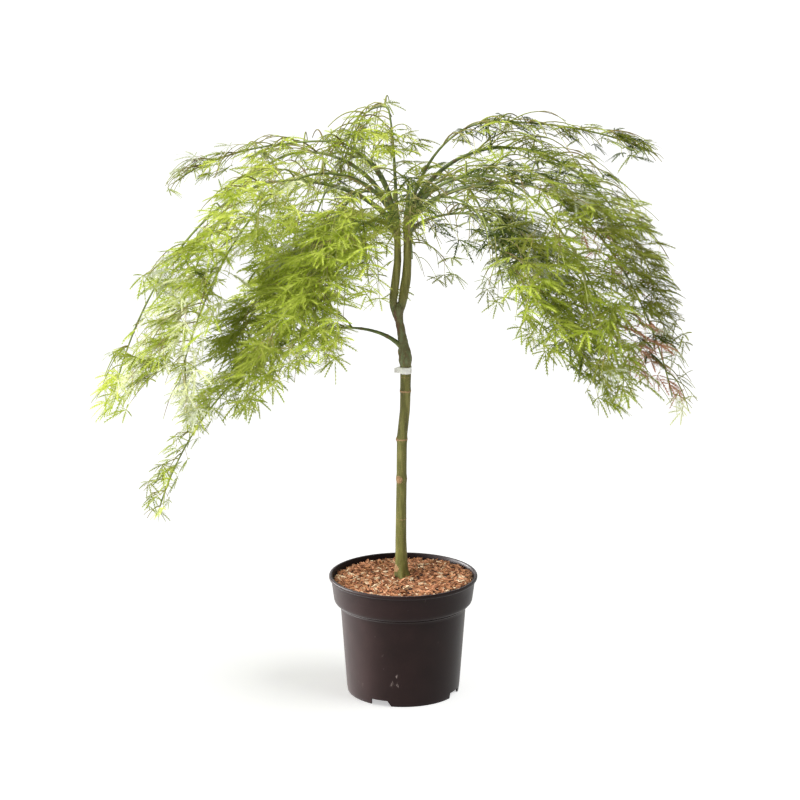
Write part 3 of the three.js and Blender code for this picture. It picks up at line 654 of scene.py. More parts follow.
ARCHES = [dict(zip(("name", "origin", "start", "azimuth", "sweep", "crest", "tip", "bough", "girth",
                    "spread", "twigs", "leaf_size"), row), seed=11 + i) for i, row in enumerate([
    ("upper_left", "left", 838, 172, 6, (115, 972), (370, 905), 0.3, 0.8, 100, 8, 0.8),
    ("outer_left", "left", 822, 186, 2, (185, 910), (485, 550), 0.4, 1, 120, 13, 0.85),
    ("rear_left", "left", 832, 150, 8, (165, 945), (430, 590), 0.38, 1, 130, 10, 0.95),
    ("front_left", "left", 830, 212, -4, (150, 930), (410, 580), 0.38, 0.9, 125, 8, 1),
    ("inner_left", "left", 808, 196, 0, (75, 850), (225, 630), 0.36, 0.8, 105, 6, 1),
    ("low_left", "trunk", 612, 186, 4, (105, 655), (425, 355), 0.42, 0.8, 60, 8, 0.7),
    ("back_left", "left", 816, 114, 8, (130, 930), (330, 690), 0.38, 0.9, 120, 7, 1),
    ("near_left", "left", 815, 236, -4, (95, 900), (250, 690), 0.38, 0.8, 105, 6, 1),
    ("peak", "left", 843, 158, -25, (20, 1030), (95, 988), 0.34, 0.65, 95, 8, 0.85),
    ("upper_right", "right", 845, 6, -4, (145, 1004), (400, 955), 0.22, 0.8, 100, 9, 0.8),
    ("outer_right", "right", 832, 354, -2, (175, 905), (455, 545), 0.4, 1, 120, 11, 0.85),
    ("rear_right", "right", 838, 30, -6, (175, 950), (450, 745), 0.38, 1, 125, 10, 0.9),
    ("front_right", "right", 826, 328, 4, (150, 925), (395, 620), 0.38, 0.9, 120, 8, 1),
    ("inner_right", "right", 812, 358, 0, (95, 850), (275, 620), 0.36, 0.8, 100, 6, 1),
    ("back_right", "right", 818, 62, -4, (140, 890), (330, 670), 0.38, 0.9, 115, 6, 1),
    ("back", "right", 828, 90, -2, (125, 865), (300, 715), 0.38, 0.8, 100, 5, 1),
    ("near_right", "right", 806, 308, 6, (110, 890), (275, 730), 0.38, 0.8, 100, 6, 1),
    ("front", "right", 840, 272, 0, (80, 915), (200, 895), 0.38, 0.6, 90, 4, 1),
])]
BOUGH = {"base": 5.2, "end": 2.6, "collar": 2.2, "collar_length": 12, "sides": 12, "step": 2.5}
KNUCKLE = {"spacing": 47, "first": 40, "width": 2.2, "height": 0.45}
UP = np.array((0.0, 0.0, 1.0))


def heading(degrees):
    """The level way that a turn about the stem points."""
    return np.array((math.cos(math.radians(degrees)), math.sin(math.radians(degrees)), 0.0))


def bezier(u, a, b, c, d):
    """A curve's value at u from 0 to 1, from a to d."""
    v = 1 - u
    return v * v * v * a + 3 * v * v * u * b + 3 * v * u * u * c + u * u * u * d


def arch_point(arch, t):
    """The point at t from 0 to 1 on an arch, in mm: a rise to its crest, then a fall to its tip."""
    rows = np.array(TRUNK if arch["origin"] == "trunk" else LEADERS[arch["origin"]], dtype=float)
    (crest_out, crest_up), (tip_out, tip_up) = arch["crest"], arch["tip"]
    lift, fall, out = crest_up - arch["start"], crest_up - tip_up, tip_out - crest_out
    if t < 0.5:
        u = 2 * t
        reach = bezier(u, 0, 0.2 * crest_out, 0.6 * crest_out, crest_out)
        height = bezier(u, arch["start"], arch["start"] + 0.7 * lift, crest_up, crest_up)
    else:
        u = 2 * t - 1
        reach = bezier(u, crest_out, crest_out + 0.45 * out, crest_out + 0.85 * out, tip_out)
        height = bezier(u, crest_up, crest_up, tip_up + 0.5 * fall, tip_up)
    axis = np.array([np.interp(arch["start"], rows[:, 0], rows[:, k]) for k in (1, 2)] + [0.0])
    spot = axis + heading(arch["azimuth"] + arch["sweep"] * t) * reach
    spot[2] = height
    return spot


def olive_bough_bark():
    """Two-year bark: smooth dark olive green, paler in streaks, and red brown at the joints."""
    material, tree, shader, place = blank_material("olive_bough_bark")
    streaks = cloudy(tree, place, 75, detail=5)
    green = ramp(tree, streaks, (0.32, "#3c4520"), (0.55, "#5c6a30"), (0.7, "#828c4b"))
    feed(tree, shader, {
        "Base Color": blend(tree, painted_on(tree, "joint"), green, srgb("#6b4030")),
        "Roughness": 0.58})
    roughen(tree, shader, streaks, distance=0.0006, strength=0.4)
    return material


def bough_relief(spots, turns):
    """Faint ripples in a bough's bark, in mm."""
    return 0.22 * wander(spots, 6, 6, 31)


bough_points, bough_faces, joints, count = [], [], [], 0
for arch in ARCHES:
    shares = np.linspace(0, arch["bough"], 400)
    path = np.array([arch_point(arch, t) for t in shares])
    along = np.concatenate([[0], np.cumsum(np.linalg.norm(np.diff(path, axis=0), axis=1))])
    stations = np.arange(0, along[-1] + 1, BOUGH["step"])
    centres = np.stack([np.interp(stations, along, path[:, k]) for k in range(3)], -1)
    share = stations / along[-1]
    radii = arch["girth"] * (BOUGH["base"] + (BOUGH["end"] - BOUGH["base"]) * share)
    radii = radii + BOUGH["collar"] * np.exp(-stations / BOUGH["collar_length"])
    knuckles = np.exp(-((stations % KNUCKLE["spacing"] - KNUCKLE["first"]) / KNUCKLE["width"]) ** 2)
    radii = radii + KNUCKLE["height"] * knuckles
    corners, faces = limb(centres, radii, BOUGH["sides"], np.cross(UP, heading(arch["azimuth"])),
                          bough_relief)
    bough_points.append(corners)
    bough_faces.append(faces + count)
    count += len(corners)
    red = np.clip(0.55 * knuckles + 0.7 * np.exp(-stations / 9), 0, 0.8)
    joints.append(np.concatenate([np.repeat(red, BOUGH["sides"]), red[:1], red[-1:]]))
boughs = form("boughs", np.concatenate(bough_points), np.concatenate(bough_faces), olive_bough_bark())
paint(boughs.data, "joint", np.concatenate(joints))
boughs.data.shade_smooth()
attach(boughs, "root")
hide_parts(*[f"bough_{arch['name']}" for arch in ARCHES])

# ---- Twigs -------------------------------------------------------------------------------------
# A stem takes each bough on to its tip. Twigs leave it in turn, left and right, reach out and
# droop, and finer shoots hang between them. All keep to the crown and to their own arch's space.

CROWN = [  # height, reach to the left, reach to the right
    (280, 500, 400), (470, 550, 440), (500, 555, 510), (567, 550, 505), (610, 530, 500),
    (700, 500, 490), (785, 480, 480), (890, 480, 480), (960, 420, 480), (985, 260, 400),
    (1010, 180, 250), (1054, 60, 90),
]
CROWN_DEPTH = 0.8  # as a share of its width
WINDOW = {"left": -32, "right": 95, "back": 60, "top": 830}  # open in front of the stem
OVERHANG = 80  # how far foliage may reach into a neighbour's space, in mm
# As seen from the front, what the foliage keeps between: its crest line and its hem, as [x, height].
SLANT = 0.244  # what a step back gains in height in that view
CREST_LINE = [
    (-560, 470), (-535, 512), (-514, 550), (-494, 600), (-473, 629), (-452, 671), (-431, 735),
    (-390, 776), (-348, 811), (-328, 870), (-307, 926), (-269, 965), (-226, 985), (-139, 1000),
    (-113, 1015), (-79, 1030), (-27, 1050), (11, 1035), (21, 994), (34, 963), (60, 963),
    (77, 994), (103, 1018), (163, 1030), (215, 1014), (250, 990), (293, 960), (336, 940),
    (377, 915), (400, 890), (440, 858), (465, 820), (475, 740), (500, 640),
]
HEM = [
    (-545, 470), (-500, 470), (-465, 478), (-448, 535), (-430, 555), (-405, 568), (-397, 475),
    (-330, 430), (-300, 450), (-250, 465), (-224, 510), (-203, 525), (-182, 525), (-150, 565),
    (-110, 540), (-65, 590), (-20, 640), (5, 730), (60, 730), (115, 720), (130, 700), (149, 640),
    (170, 615), (205, 590), (232, 540), (260, 505), (293, 490), (336, 472), (377, 455), (480, 462),
    (500, 480),
]
LONE = ("upper_left", "low_left", "upper_right")  # arches that stand clear of the rest
LONE_REACH = 40  # how far their foliage may reach out of the outline, in mm
LONE_SHARE = (0.16, 0.75)  # the share of their leaves that they keep at least, before and at the tip
HIGH = 870  # above this the foliage is thin, with sky between its leaves
STEM = {"tip": 1.3, "points": 40}
GROWTH = {  # radius and tip in mm, degrees forward and how far that fans, the least length and how
    # much more by chance, how much shorter twigs get down the arch, and how they rise and droop
    "twig": {"radius": 1.6, "tip": 0.8, "forward": 30, "fan": 24, "length": (0.8, 0.4),
             "shorter": 0.35, "rise": (1, 0.15), "droop": 0.8},
    "shoot": {"radius": 1.15, "tip": 0.5, "forward": 60, "fan": 50, "length": (0.75, 0.6),
              "shorter": 0.25, "rise": 0.7, "droop": (1.0, 0.65)},
    "twiglet": {"radius": 0.8, "tip": 0.45, "share": 0.52, "turn": 42},
}
SHOOTS_PER_TWIG = 3.0
SHORTENED = (1.0, 0.75, 0.55, 0.38)  # the lengths that a shoot is tried at
LOWEST_SHOOT = {"peak": -0.4}  # where the shoots begin: the peak's on its bough
BARE = (0.5, 0.15)  # the chance that a shoot high in the crown is missing, at x 100 and at x 200 mm
HANGING = [  # from x, to x, top height, and how much further the shoots there droop
    (-150, -20, 9999, 2), (180, 400, 710, 1.4),
]
CYCLE = 2 ** 32


def chance(seed):
    """Seeded numbers from 0 to 1, the same ones that the solids were grown with."""
    state = seed
    while True:
        state = (state * 1664525 + 1013904223) % CYCLE
        yield state / CYCLE


def vary(draw, least, more):
    """A number from the least to so much more, by chance."""
    return least + more * next(draw)


def unit(vector):
    """A vector brought to length 1."""
    return vector / np.linalg.norm(vector)


def stem_point(arch, s):
    """The point at s from 0 to 1 on the part of an arch beyond its bough."""
    return arch_point(arch, arch["bough"] + s * (1 - arch["bough"]))


stem_spots = np.array([[stem_point(arch, i / 30) for i in range(31)] for arch in ARCHES])


def is_in_crown(spot):
    """Whether a spot is inside the crown's outline and not in its window."""
    x, y, z = spot
    if not CROWN[0][0] < z < CROWN[-1][0]:
        return False
    heights, lefts, rights = zip(*CROWN)
    left, right = np.interp(z, heights, lefts), np.interp(z, heights, rights)
    span = math.hypot(x, y / CROWN_DEPTH)
    in_window = y < WINDOW["back"] and WINDOW["left"] < x < WINDOW["right"] and z < WINDOW["top"]
    return not in_window and span < (left + right + (right - left) * x / max(span, 1e-6)) / 2


def seen_height(spot):
    """The height at which a spot is seen from the front."""
    return spot[2] + SLANT * spot[1]


def is_open_sky(index, spot):
    """Whether a spot lies over the crest line or under the hem, and not beside a lone arch."""
    if np.interp(spot[0], *zip(*HEM)) < seen_height(spot) < np.interp(spot[0], *zip(*CREST_LINE)):
        return False
    away = np.linalg.norm(stem_spots[index] - spot, axis=1).min()
    return ARCHES[index]["name"] not in LONE or away > LONE_REACH


def is_in_space(index, spot):
    """Whether a spot is in the crown and no further past its arch's space than the overhang."""
    if not is_in_crown(spot) or is_open_sky(index, spot):
        return False
    away = np.linalg.norm(stem_spots - spot, axis=2).min(axis=1)
    return away[index] - OVERHANG <= away.min()


def drooping(root, aim, length, rise, droop, points=9):
    """The path of a twig that sets out rising and bends down as it goes."""
    shares = np.linspace(0, 1, points)[:, None]
    return root + aim * length * shares + UP * length * shares * (rise - droop * shares)


def set_out(arch, t, side, kind, draw):
    """Where a twig leaves its arch, and which way: to its side in turn, and forward by chance."""
    root = stem_point(arch, t)
    outward = stem_point(arch, min(t + 0.02, 1.02)) - root
    outward[2] = 0
    outward = unit(outward)
    across = np.cross(UP, outward) * (1 if side % 2 else -1)
    forward = math.radians(GROWTH[kind]["forward"] + GROWTH[kind]["fan"] * (next(draw) - 0.5))
    return root, across * math.cos(forward) + outward * math.sin(forward)


wood_paths = []  # a path of points and a radius for each, for all green wood finer than a bough
sprays = []  # a path that bears leaves, its arch's number, a seed for its leaves, and its place


def grow(path, kind, index, seed, t):
    """Keeps a twig's path with its taper, to be made into wood and to bear leaves."""
    wood_paths.append((path, np.linspace(GROWTH[kind]["radius"], GROWTH[kind]["tip"], len(path))))
    sprays.append((path, index, seed, t))


for index, arch in enumerate(ARCHES):
    draw = chance(arch["seed"])
    stem_path = np.array([stem_point(arch, s) for s in np.linspace(-0.02, 1, STEM["points"])])
    taper = np.linspace(BOUGH["end"] * arch["girth"], STEM["tip"], STEM["points"])
    wood_paths.append((stem_path, taper))
    sprays.append((stem_path[4:], index, arch["seed"] * 7, 1.0))
    twig, shoot = GROWTH["twig"], GROWTH["shoot"]
    for i in range(arch["twigs"]):
        t = (i + 0.2 + 0.3 * next(draw)) / arch["twigs"]
        root, aim = set_out(arch, t, i, "twig", draw)
        length = arch["spread"] * vary(draw, *twig["length"]) * (1 - twig["shorter"] * t)
        rise = twig["rise"][0] + t * (twig["rise"][1] - twig["rise"][0])
        for _ in range(8):
            next(draw)  # the numbers that the solids spend on each twig's own leaves
        path = drooping(root, aim, length, rise, twig["droop"])
        if is_in_space(index, path[-1]):
            grow(path, "twig", index, arch["seed"] * 31 + i, t)
    fine = chance(arch["seed"] + 1000)
    shoots = int(arch["twigs"] * SHOOTS_PER_TWIG)
    lowest = LOWEST_SHOOT.get(arch["name"], 0)
    for i in range(shoots):
        t = lowest + (1 - lowest) * (i + next(fine)) / shoots
        root, aim = set_out(arch, t, i, "shoot", fine)
        if t <= 0:
            aim = heading(360 * next(fine))
        length = arch["spread"] * vary(fine, *shoot["length"]) * (1 - shoot["shorter"] * t)
        rise = shoot["rise"] * (1 - t) + 0.5 * (next(fine) - 0.5)
        droop = np.interp(arch["tip"][0], (280, 400), shoot["droop"])
        for low, high, top, further in HANGING:
            if low < root[0] < high and root[2] < top:
                droop *= further
        for shrink in SHORTENED:
            path = drooping(root, aim, length * shrink, rise, droop)
            if is_in_space(index, path[-1]):
                bare = np.interp(root[0], (100, 200), BARE)
                if 0 < t < 0.7 and seen_height(path[4]) > HIGH and next(fine) < bare:
                    break
                grow(path, "shoot", index, arch["seed"] * 53 + i, t)
                turn = math.radians(GROWTH["twiglet"]["turn"]) * (1 if next(fine) < 0.5 else -1)
                cosine, sine = math.cos(turn), math.sin(turn)
                aside = np.array((aim[0] * cosine - aim[1] * sine, aim[0] * sine + aim[1] * cosine, 0))
                short = length * shrink * GROWTH["twiglet"]["share"]
                twiglet = drooping(path[4], aside, short, rise * 0.4, droop, 6)
                if is_in_space(index, twiglet[-1]):
                    grow(twiglet, "twiglet", index, arch["seed"] * 71 + i, t)
                break

# ---- Leaves ------------------------------------------------------------------------------------
# Finely cut palmate leaves stand in pairs on slender stalks. Each has seven lobes, and each lobe
# is a narrow drooping strip edged with forward-pointing teeth. Tints go by spray. The arches on
# the left, where the lamps fall, get lime and pale tints, and the inner and right arches get more
# olive and dark ones. This is partly the leaves' own colour and partly painted highlight and
# painted shade. New growth at the tips of the outer arches is paler, and a few sprays low on the
# right are bronze.

LEAF = {  # lengths in mm; in a pair, the least and how much more by chance
    "length": 56, "lobes": (-104, -68, -33, 0, 33, 68, 104),
    "shares": (0.5, 0.76, 0.93, 1.0, 0.93, 0.76, 0.5), "droop": 0.14, "half_width": 1.15,
    "tooth": 13.0, "foot": 0.066, "teeth": (0.13, 0.26, 0.39, 0.52, 0.65, 0.78),
    "node_step": 20.5, "stalk": 24, "size": (0.72, 0.42), "stalk_share": (0.7, 0.6), "sag": (0.3, 0.5),
    "ahead": 0.75, "aside": 0.8, "swing": 50, "roll": 60, "outward": 0.9,
}
STALK_RADII = (0.55, 0.45, 0.5)
STATIONS = np.array([0, 0.2, 0.4, 0.6, 0.8])  # where along a lobe its strip has a pair of points
INWARD = {"reach": (120, 330), "chance": (0.7, 0.12)}  # that a leaf points in to the stem
SPARSE = {"arches": ("front", "near_right", "back"), "share": 0.6}
RISING = {  # the share of the leaves that is left, by height, so that the crown is open at the top
    "height": (HIGH - 270, HIGH - 200, HIGH - 90, HIGH + 10), "share": (1, 0.78, 0.32, 0.09),
    "x": (-220, -160, 140, 200), "higher": (110, 0, 0, 90)}  # out at the sides it opens higher up
THINNED = [  # from x, to x, up to which height as seen from the front, and the share that is left
    (130, 999, 9999, 0.78), (415, 999, 9999, 0.5), (100, 170, 800, 0.5)]
INNER_LEFT = {"x": (-250, -10), "height": (660, 740), "share": (0.42, 0.75)}  # at most, so low down
HELD = [  # from x, to x, from height, to height, and the share that is left there at least
    (-150, -10, 740, 850, 0.85), (0, 420, 912, 962, 0.34)]
BY_THE_STEM = {"x": (0, 140), "top": 860, "share": 0.1}
BRONZE_SPOT = {"x": 423, "height": 558, "reach": 48, "share": 0.6}  # as seen from the front
TINTS = {  # leaf colour, and the lighter colour that it turns in patches
    "pale": ("#c6cd92", "#e2e4be"), "lime": ("#bccb3c", "#dfe483"), "spring": ("#a0b232", "#c6d064"),
    "mid": ("#829229", "#a6ae4c"), "olive": ("#6c7320", "#8d9244"), "dark": ("#384716", "#5f6d2c"),
    "grey": ("#a4ab88", "#c2c6ab"), "bronze": ("#ae7857", "#c99a78"),
}
# The left arches lean to lime and pale, partly a painted highlight where the lamps fall; the others
# lean to olive and dark, partly painted shade.
MIXES = [  # arches, how far down them it starts, and the share of the sprays in each tint
    (("outer_left", "front_left", "rear_left"), 0.72,
     {"pale": 0.3, "lime": 0.26, "spring": 0.28, "mid": 0.12, "dark": 0.02, "grey": 0.02}),
    (("low_left",), 0, {"pale": 0.12, "lime": 0.26, "spring": 0.4, "mid": 0.18, "dark": 0.04}),
    (("outer_left", "front_left", "rear_left"), 0,
     {"pale": 0.1, "lime": 0.38, "spring": 0.34, "mid": 0.1, "dark": 0.04, "grey": 0.04}),
    (("upper_left", "peak", "back_left", "inner_left", "near_left"), 0,
     {"lime": 0.1, "spring": 0.34, "mid": 0.32, "olive": 0.08, "dark": 0.06, "grey": 0.1}),
    (("outer_right", "rear_right", "front_right"), 0.72,
     {"pale": 0.2, "spring": 0.26, "mid": 0.26, "olive": 0.14, "dark": 0.04, "grey": 0.1}),
    (("upper_right", "front"), 0, {"spring": 0.25, "mid": 0.35, "olive": 0.25, "dark": 0.15}),
    ((), 0, {"spring": 0.1, "mid": 0.3, "olive": 0.32, "dark": 0.2, "grey": 0.08}),
]


def tint_for(arch, t, end, draw):
    """The tint of a spray, by its arch, how far down it hangs, where it ends, and by chance."""
    off = math.hypot(end[0] - BRONZE_SPOT["x"], seen_height(end) - BRONZE_SPOT["height"])
    if off < BRONZE_SPOT["reach"] and end[1] < 0 and next(draw) < BRONZE_SPOT["share"]:
        return "bronze"
    mix = next(mix for names, top, mix in MIXES
               if max(t, 0) >= top and (arch["name"] in names or not names))
    pick = np.searchsorted(np.cumsum(list(mix.values())), next(draw))
    return list(mix)[min(pick, len(mix) - 1)]


def share_kept(arch, t, spot):
    """The share of the leaves that is kept round a spot, so that sky shows between them."""
    x, seen = spot[0], seen_height(spot)
    level = seen - np.interp(x, RISING["x"], RISING["higher"])
    share = np.interp(level, RISING["height"], RISING["share"])
    for low_x, high_x, top, left in THINNED:
        if low_x < x < high_x and seen < top:
            share *= left
    if arch["name"] in SPARSE["arches"]:
        share *= SPARSE["share"]
    if t < 0:
        share = 1
    low, high = INNER_LEFT["x"]
    if low < x < high and seen < INNER_LEFT["height"][1]:
        share = min(share, np.interp(seen, INNER_LEFT["height"], INNER_LEFT["share"]))
    low, high = BY_THE_STEM["x"]
    if low < x < high and seen < BY_THE_STEM["top"]:
        share = BY_THE_STEM["share"]
    if arch["name"] in LONE:
        share = max(share, LONE_SHARE[t > 0.6])
    for low_x, high_x, low, high, least in HELD:
        if low_x < x < high_x and low < seen < high:
            share = max(share, least)
    return share


def point_along(path, along, distance):
    """The point at a distance along a path, by the lengths along it."""
    return np.array([np.interp(distance, along, path[:, k]) for k in range(3)])


leaves = {name: [] for name in TINTS}  # each leaf's root, heart, the ways it faces, size and luck
for path, index, seed, t in sprays:
    arch = ARCHES[index]
    draw = chance(seed)
    for _ in range(3):
        next(draw)  # the first numbers from seeds that are near are near too
    tint = tint_for(arch, t, path[-1], draw)
    along = np.concatenate([[0], np.cumsum(np.linalg.norm(np.diff(path, axis=0), axis=1))])
    nodes = np.arange(LEAF["node_step"] * 0.7, along[-1], LEAF["node_step"])
    spots = [(node, turn) for node in nodes for turn in (0, 180)] + [(along[-1], None)]
    for k, (node, turn) in enumerate(spots):
        root = point_along(path, along, node)
        ahead = unit(root - point_along(path, along, node - 8))
        size = arch["leaf_size"] * vary(draw, *LEAF["size"])
        stalk_aim = ahead
        if turn is not None:
            swing = math.radians(turn + 90 * (k // 2 % 2) + LEAF["swing"] * (next(draw) - 0.5))
            level = unit(np.cross(UP, ahead) + 1e-4)
            aside = level * math.cos(swing) + np.cross(ahead, level) * math.sin(swing)
            stalk_aim = unit(ahead * LEAF["ahead"] + aside * LEAF["aside"])
        stalk = LEAF["stalk"] * size * vary(draw, *LEAF["stalk_share"])
        sag = vary(draw, *LEAF["sag"])
        heart = root + stalk_aim * stalk - UP * stalk * 0.3 * sag
        span = math.hypot(heart[0], heart[1] / CROWN_DEPTH)
        inward = next(draw) < np.interp(span, INWARD["reach"], INWARD["chance"])
        away = heading(arch["azimuth"] + arch["sweep"]) * LEAF["outward"] * (-1 if inward else 1)
        forward = unit(stalk_aim * (0.9, 0.9, 0.2) + away - UP * (0.7 * sag - 0.32 + 0.5 * t ** 3))
        roll = math.radians(LEAF["roll"] * (next(draw) - 0.5))
        flat = unit(np.cross(UP, forward) + 1e-4)
        side = flat * math.cos(roll) + np.cross(forward, flat) * math.sin(roll)
        tip = heart + forward * LEAF["length"] * size * 0.9 - UP * LEAF["length"] * size * LEAF["droop"]
        if not (is_in_space(index, heart) and is_in_space(index, tip)):
            continue
        if next(draw) > share_kept(arch, t, heart):
            continue
        leaves[tint].append((root, heart, forward, side, size, next(draw)))
        middle = (root + heart) / 2 + UP * stalk * 0.05
        wood_paths.append((np.array([root, middle, heart]), np.array(STALK_RADII)))


def leaf_points(rows):
    """Points and faces of many leaves at once: for each lobe a tapering strip and its teeth."""
    root, heart, forward, side, size, luck = (np.array(column) for column in zip(*rows))
    count = len(rows)
    angles = np.radians(np.array(LEAF["lobes"], dtype=float))
    shares = np.array(LEAF["shares"])
    wobble = np.sin(luck[:, None] * 97 + np.arange(len(angles)) * 2.4)
    angle = angles[None] + 0.12 * wobble
    length = LEAF["length"] * size[:, None] * shares[None] * (1 + 0.12 * np.cos(wobble * 5))
    aim = forward[:, None] * np.cos(angle)[..., None] + side[:, None] * np.sin(angle)[..., None]
    normal = np.cross(forward, side)[:, None] + np.zeros_like(aim)
    twist = 0.7 * np.sin(luck[:, None] * 53 + np.arange(len(angles)) * 1.9)

    def spine(s):
        drop = LEAF["droop"] * (0.8 + 0.5 * luck[:, None]) * s * s
        return heart[:, None] + length[..., None] * (aim * (s - 0.18 * s * s) - UP * drop[..., None])

    def slope(s):
        drop = 2 * LEAF["droop"] * (0.8 + 0.5 * luck[:, None]) * s
        way = aim * (1 - 0.36 * s) - UP * drop[..., None]
        return way / np.linalg.norm(way, axis=-1, keepdims=True)

    def breadth(s):
        way = slope(s)
        wide = np.cross(normal, way)
        wide /= np.linalg.norm(wide, axis=-1, keepdims=True) + 1e-9
        return wide * np.cos(twist)[..., None] + np.cross(way, wide) * np.sin(twist)[..., None]

    strip = []
    for s in STATIONS:
        half_width = LEAF["half_width"] * size[:, None, None] * (0.45 + 2.2 * s - 2.3 * s * s)
        strip += [spine(s) - breadth(s) * half_width, spine(s) + breadth(s) * half_width]
    strip.append(spine(1.0))
    points = np.stack(strip, axis=2)
    last = 2 * len(STATIONS)
    faces = []
    for k in range(len(STATIONS) - 1):
        a, b, c, d = 2 * k, 2 * k + 1, 2 * k + 3, 2 * k + 2
        faces += [(a, b, c), (a, c, d)]
    faces.append((last - 2, last - 1, last))
    teeth = []
    for s in LEAF["teeth"]:
        long = LEAF["tooth"] * size[:, None, None] * shares[None, :, None] * (1.25 - 0.9 * s)
        for hand in (-1, 1):
            base = spine(s)
            teeth += [base, spine(s + LEAF["foot"]),
                      base + slope(s) * long * 0.88 + breadth(s) * long * 0.48 * hand]
            first = last + 1 + len(teeth) - 3
            faces.append((first, first + 1, first + 2) if hand > 0 else (first + 1, first, first + 2))
    points = np.concatenate([points, np.stack(teeth, axis=2)], axis=2)
    per_lobe = points.shape[2]
    faces = np.array(faces)
    starts = np.arange(count * len(angles)) * per_lobe
    return points.reshape(-1, 3), (faces[None] + starts[:, None, None]).reshape(-1, 3)


def laceleaf_blade(name, blade, light):
    """Thin maple leaf: matt with a faint sheen, letting some light through, paler in patches."""
    material, tree, shader, place = blank_material(name)
    colour = ramp(tree, cloudy(tree, place, 90, detail=3), (0.38, blade), (0.66, light))
    feed(tree, shader, {"Base Color": colour, "Roughness": 0.55, "Specular IOR Level": 0.15})
    glow = add_node(tree, "ShaderNodeBsdfTranslucent", {"Color": colour})
    both = add_node(tree, "ShaderNodeMixShader", {
        "Fac": 0.44, 1: shader.outputs[0], 2: glow.outputs[0]})
    feed(tree, tree.nodes["Material Output"], {"Surface": both.outputs[0]})
    return material


foliage_nodes = [f"foliage_{arch['name']}" for arch in ARCHES]
for name, (blade, light) in TINTS.items():
    if not leaves[name]:
        continue
    piece = form(f"leaves_{name}", *leaf_points(leaves[name]),
                 laceleaf_blade(f"{name}_leaf_blade", blade, light))
    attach(piece, "root")
    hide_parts(*foliage_nodes)


def wood_along_paths():
    """A tree that turns lines of points with a thickness into smooth closed twigs."""
    tree, given = geometry_tree("wood_along_paths", Sides="Int", Material="Material")
    lines = add_node(tree, "GeometryNodeMeshToCurve", {0: given["Geometry"]})
    ring = add_node(tree, "GeometryNodeCurvePrimitiveCircle", {
        "Resolution": given["Sides"], "Radius": 1.0})
    thickness = add_node(tree, "GeometryNodeInputNamedAttribute", {"Name": "thickness"},
                         data_type="FLOAT")
    wood = add_node(tree, "GeometryNodeCurveToMesh", {
        "Curve": lines.outputs[0], "Profile Curve": ring.outputs[0], "Scale": thickness.outputs[0],
        "Fill Caps": True})
    return realized(tree, add_node(tree, "GeometryNodeSetShadeSmooth", {0: wood.outputs[0]}),
                    given["Material"])


def green_shoot_bark(name, dark, light):
    """This year's wood and leaf stalks: smooth, thin-skinned and faintly shiny."""
    material, tree, shader, place = blank_material(name)
    blush = cloudy(tree, place, 30, detail=3)
    feed(tree, shader, {
        "Base Color": ramp(tree, blush, (0.35, dark), (0.62, light)), "Roughness": 0.5})
    return material


wood_tree = wood_along_paths()
WOOD = [  # name, sides, the bark's name and colours, and the fewest and most points in its paths
    ("arching_stems", 8, "stem_wood", "#4a5426", "#75833d", STEM["points"], STEM["points"]),
    ("twigs", 6, "twig_wood", "#6b5a34", "#8f9a45", 4, STEM["points"] - 1),
    ("leaf_stalks", 3, "stalk_skin", "#a08a50", "#b4bf5c", 3, 3),
]
for name, sides, bark, dark, light, fewest, most in WOOD:
    chosen = [(path, radii) for path, radii in wood_paths if fewest <= len(radii) <= most]
    points = np.concatenate([path for path, _ in chosen])
    mesh = bpy.data.meshes.new(name)
    starts = np.cumsum([0] + [len(path) for path, _ in chosen])
    lines = [(i, i + 1) for start, end in zip(starts, starts[1:]) for i in range(start, end - 1)]
    mesh.from_pydata((points * MM).tolist(), lines, [])
    paint(mesh, "thickness", np.concatenate([radii for _, radii in chosen]) * MM)
    wood = grow_with(wood_tree, show(name, mesh), Sides=sides,
                     Material=green_shoot_bark(bark, dark, light))
    piece = show(name, wood)
    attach(piece, "root")
    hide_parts(*foliage_nodes)

# ---- Studio ------------------------------------------------------------------------------------
# A near-white paper floor under a white sky. A broad key lamp and a low strip lamp, both from the
# left, light the plant, a rim lamp lights the pot's left side, and one lamp lights the floor, with
# only the pot in its way, for the pot's soft shadow.

CAMERA = {"place": (-0.00562, -4.28937, 1.57166), "pitch": 13.716, "lens": 115.27, "sensor": 36.0,
          "clip": 900}
SKY = 0.4
WHITE = (1, 1, 1, 1)
HORIZON = 400000  # half the floor's width in mm, out of sight

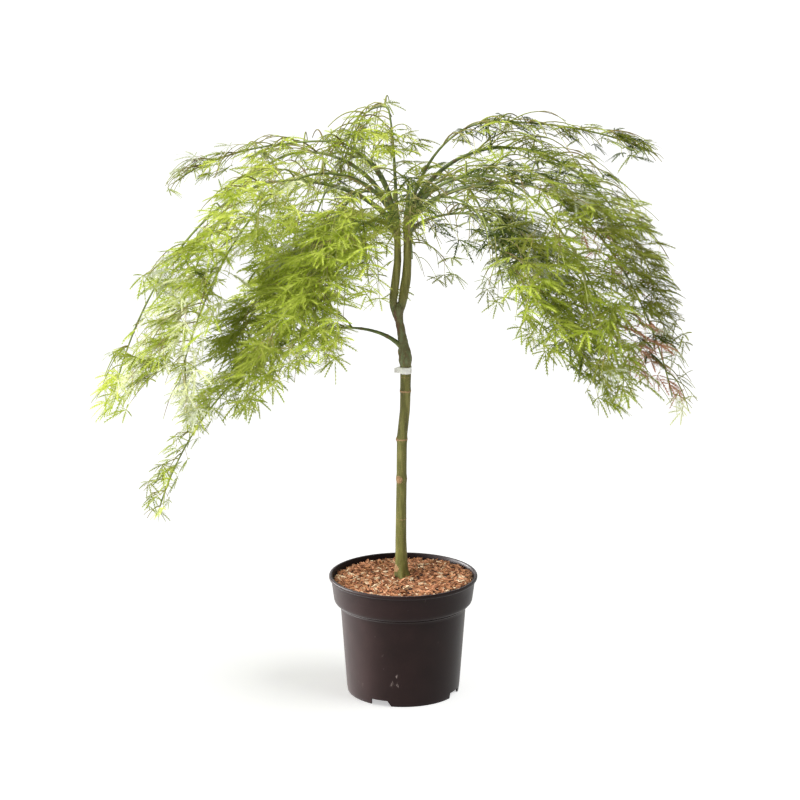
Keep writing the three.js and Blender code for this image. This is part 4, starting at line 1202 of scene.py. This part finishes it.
floor = form("floor", [
    (-HORIZON, -HORIZON, 0), (HORIZON, -HORIZON, 0), (HORIZON, HORIZON, 0), (-HORIZON, HORIZON, 0)],
    [(0, 1, 2, 3)])
paper, paper_tree, paper_shader, _ = blank_material("backlit_studio_paper")
feed(paper_tree, paper_shader, {
    "Base Color": (0.93, 0.93, 0.93, 1), "Roughness": 1.0, "Specular IOR Level": 0.0,
    "Emission Color": WHITE, "Emission Strength": 0.5})
floor.data.materials.append(paper)


def link_set(name, state, piece):
    """A set with one piece in it or left out of it, for a lamp to be linked to."""
    group = bpy.data.collections.new(name)
    group.objects.link(piece)
    group.collection_objects[0].light_linking.link_state = state
    return group


all_but_floor = link_set("all_but_floor", "EXCLUDE", floor)
floor_alone = link_set("floor_alone", "INCLUDE", floor)
pot_alone = link_set("pot_alone", "INCLUDE", pot_shell)
LAMPS = [  # name, strength, spread and turn in degrees, what it lights, what alone shades it
    ("key", 4.6, 40, (40, 0, -48), all_but_floor, None),
    ("strip", 3.4, 60, (84, 0, -70), all_but_floor, None),
    ("rim", 20, 40, (84, 0, -108), pot_alone, None),
    ("side", 1.4, 50, (50, 0, 74), floor_alone, pot_alone),
]
world = bpy.data.worlds.new("white_sky")
world.use_nodes = True
feed(world.node_tree, world.node_tree.nodes["Background"], {"Color": WHITE, "Strength": SKY})
bpy.context.scene.world = world
for name, strength, spread, turn, lit, shading in LAMPS:
    lamp = bpy.data.lights.new(name, "SUN")
    lamp.energy = strength
    lamp.angle = math.radians(spread)
    light = bpy.data.objects.new(name, lamp)
    light.rotation_euler = [math.radians(a) for a in turn]
    light.light_linking.receiver_collection = lit
    if shading:
        light.light_linking.blocker_collection = shading
    bpy.context.scene.collection.objects.link(light)

lens = bpy.data.cameras.new("camera")
lens.lens = CAMERA["lens"]
lens.sensor_width = CAMERA["sensor"]
lens.clip_end = CAMERA["clip"]
camera = bpy.data.objects.new("camera", lens)
camera.location = CAMERA["place"]
camera.rotation_euler = (math.radians(90 - CAMERA["pitch"]), 0, 0)
bpy.context.scene.collection.objects.link(camera)
bpy.context.scene.camera = camera
bpy.context.scene.view_settings.view_transform = "Standard"
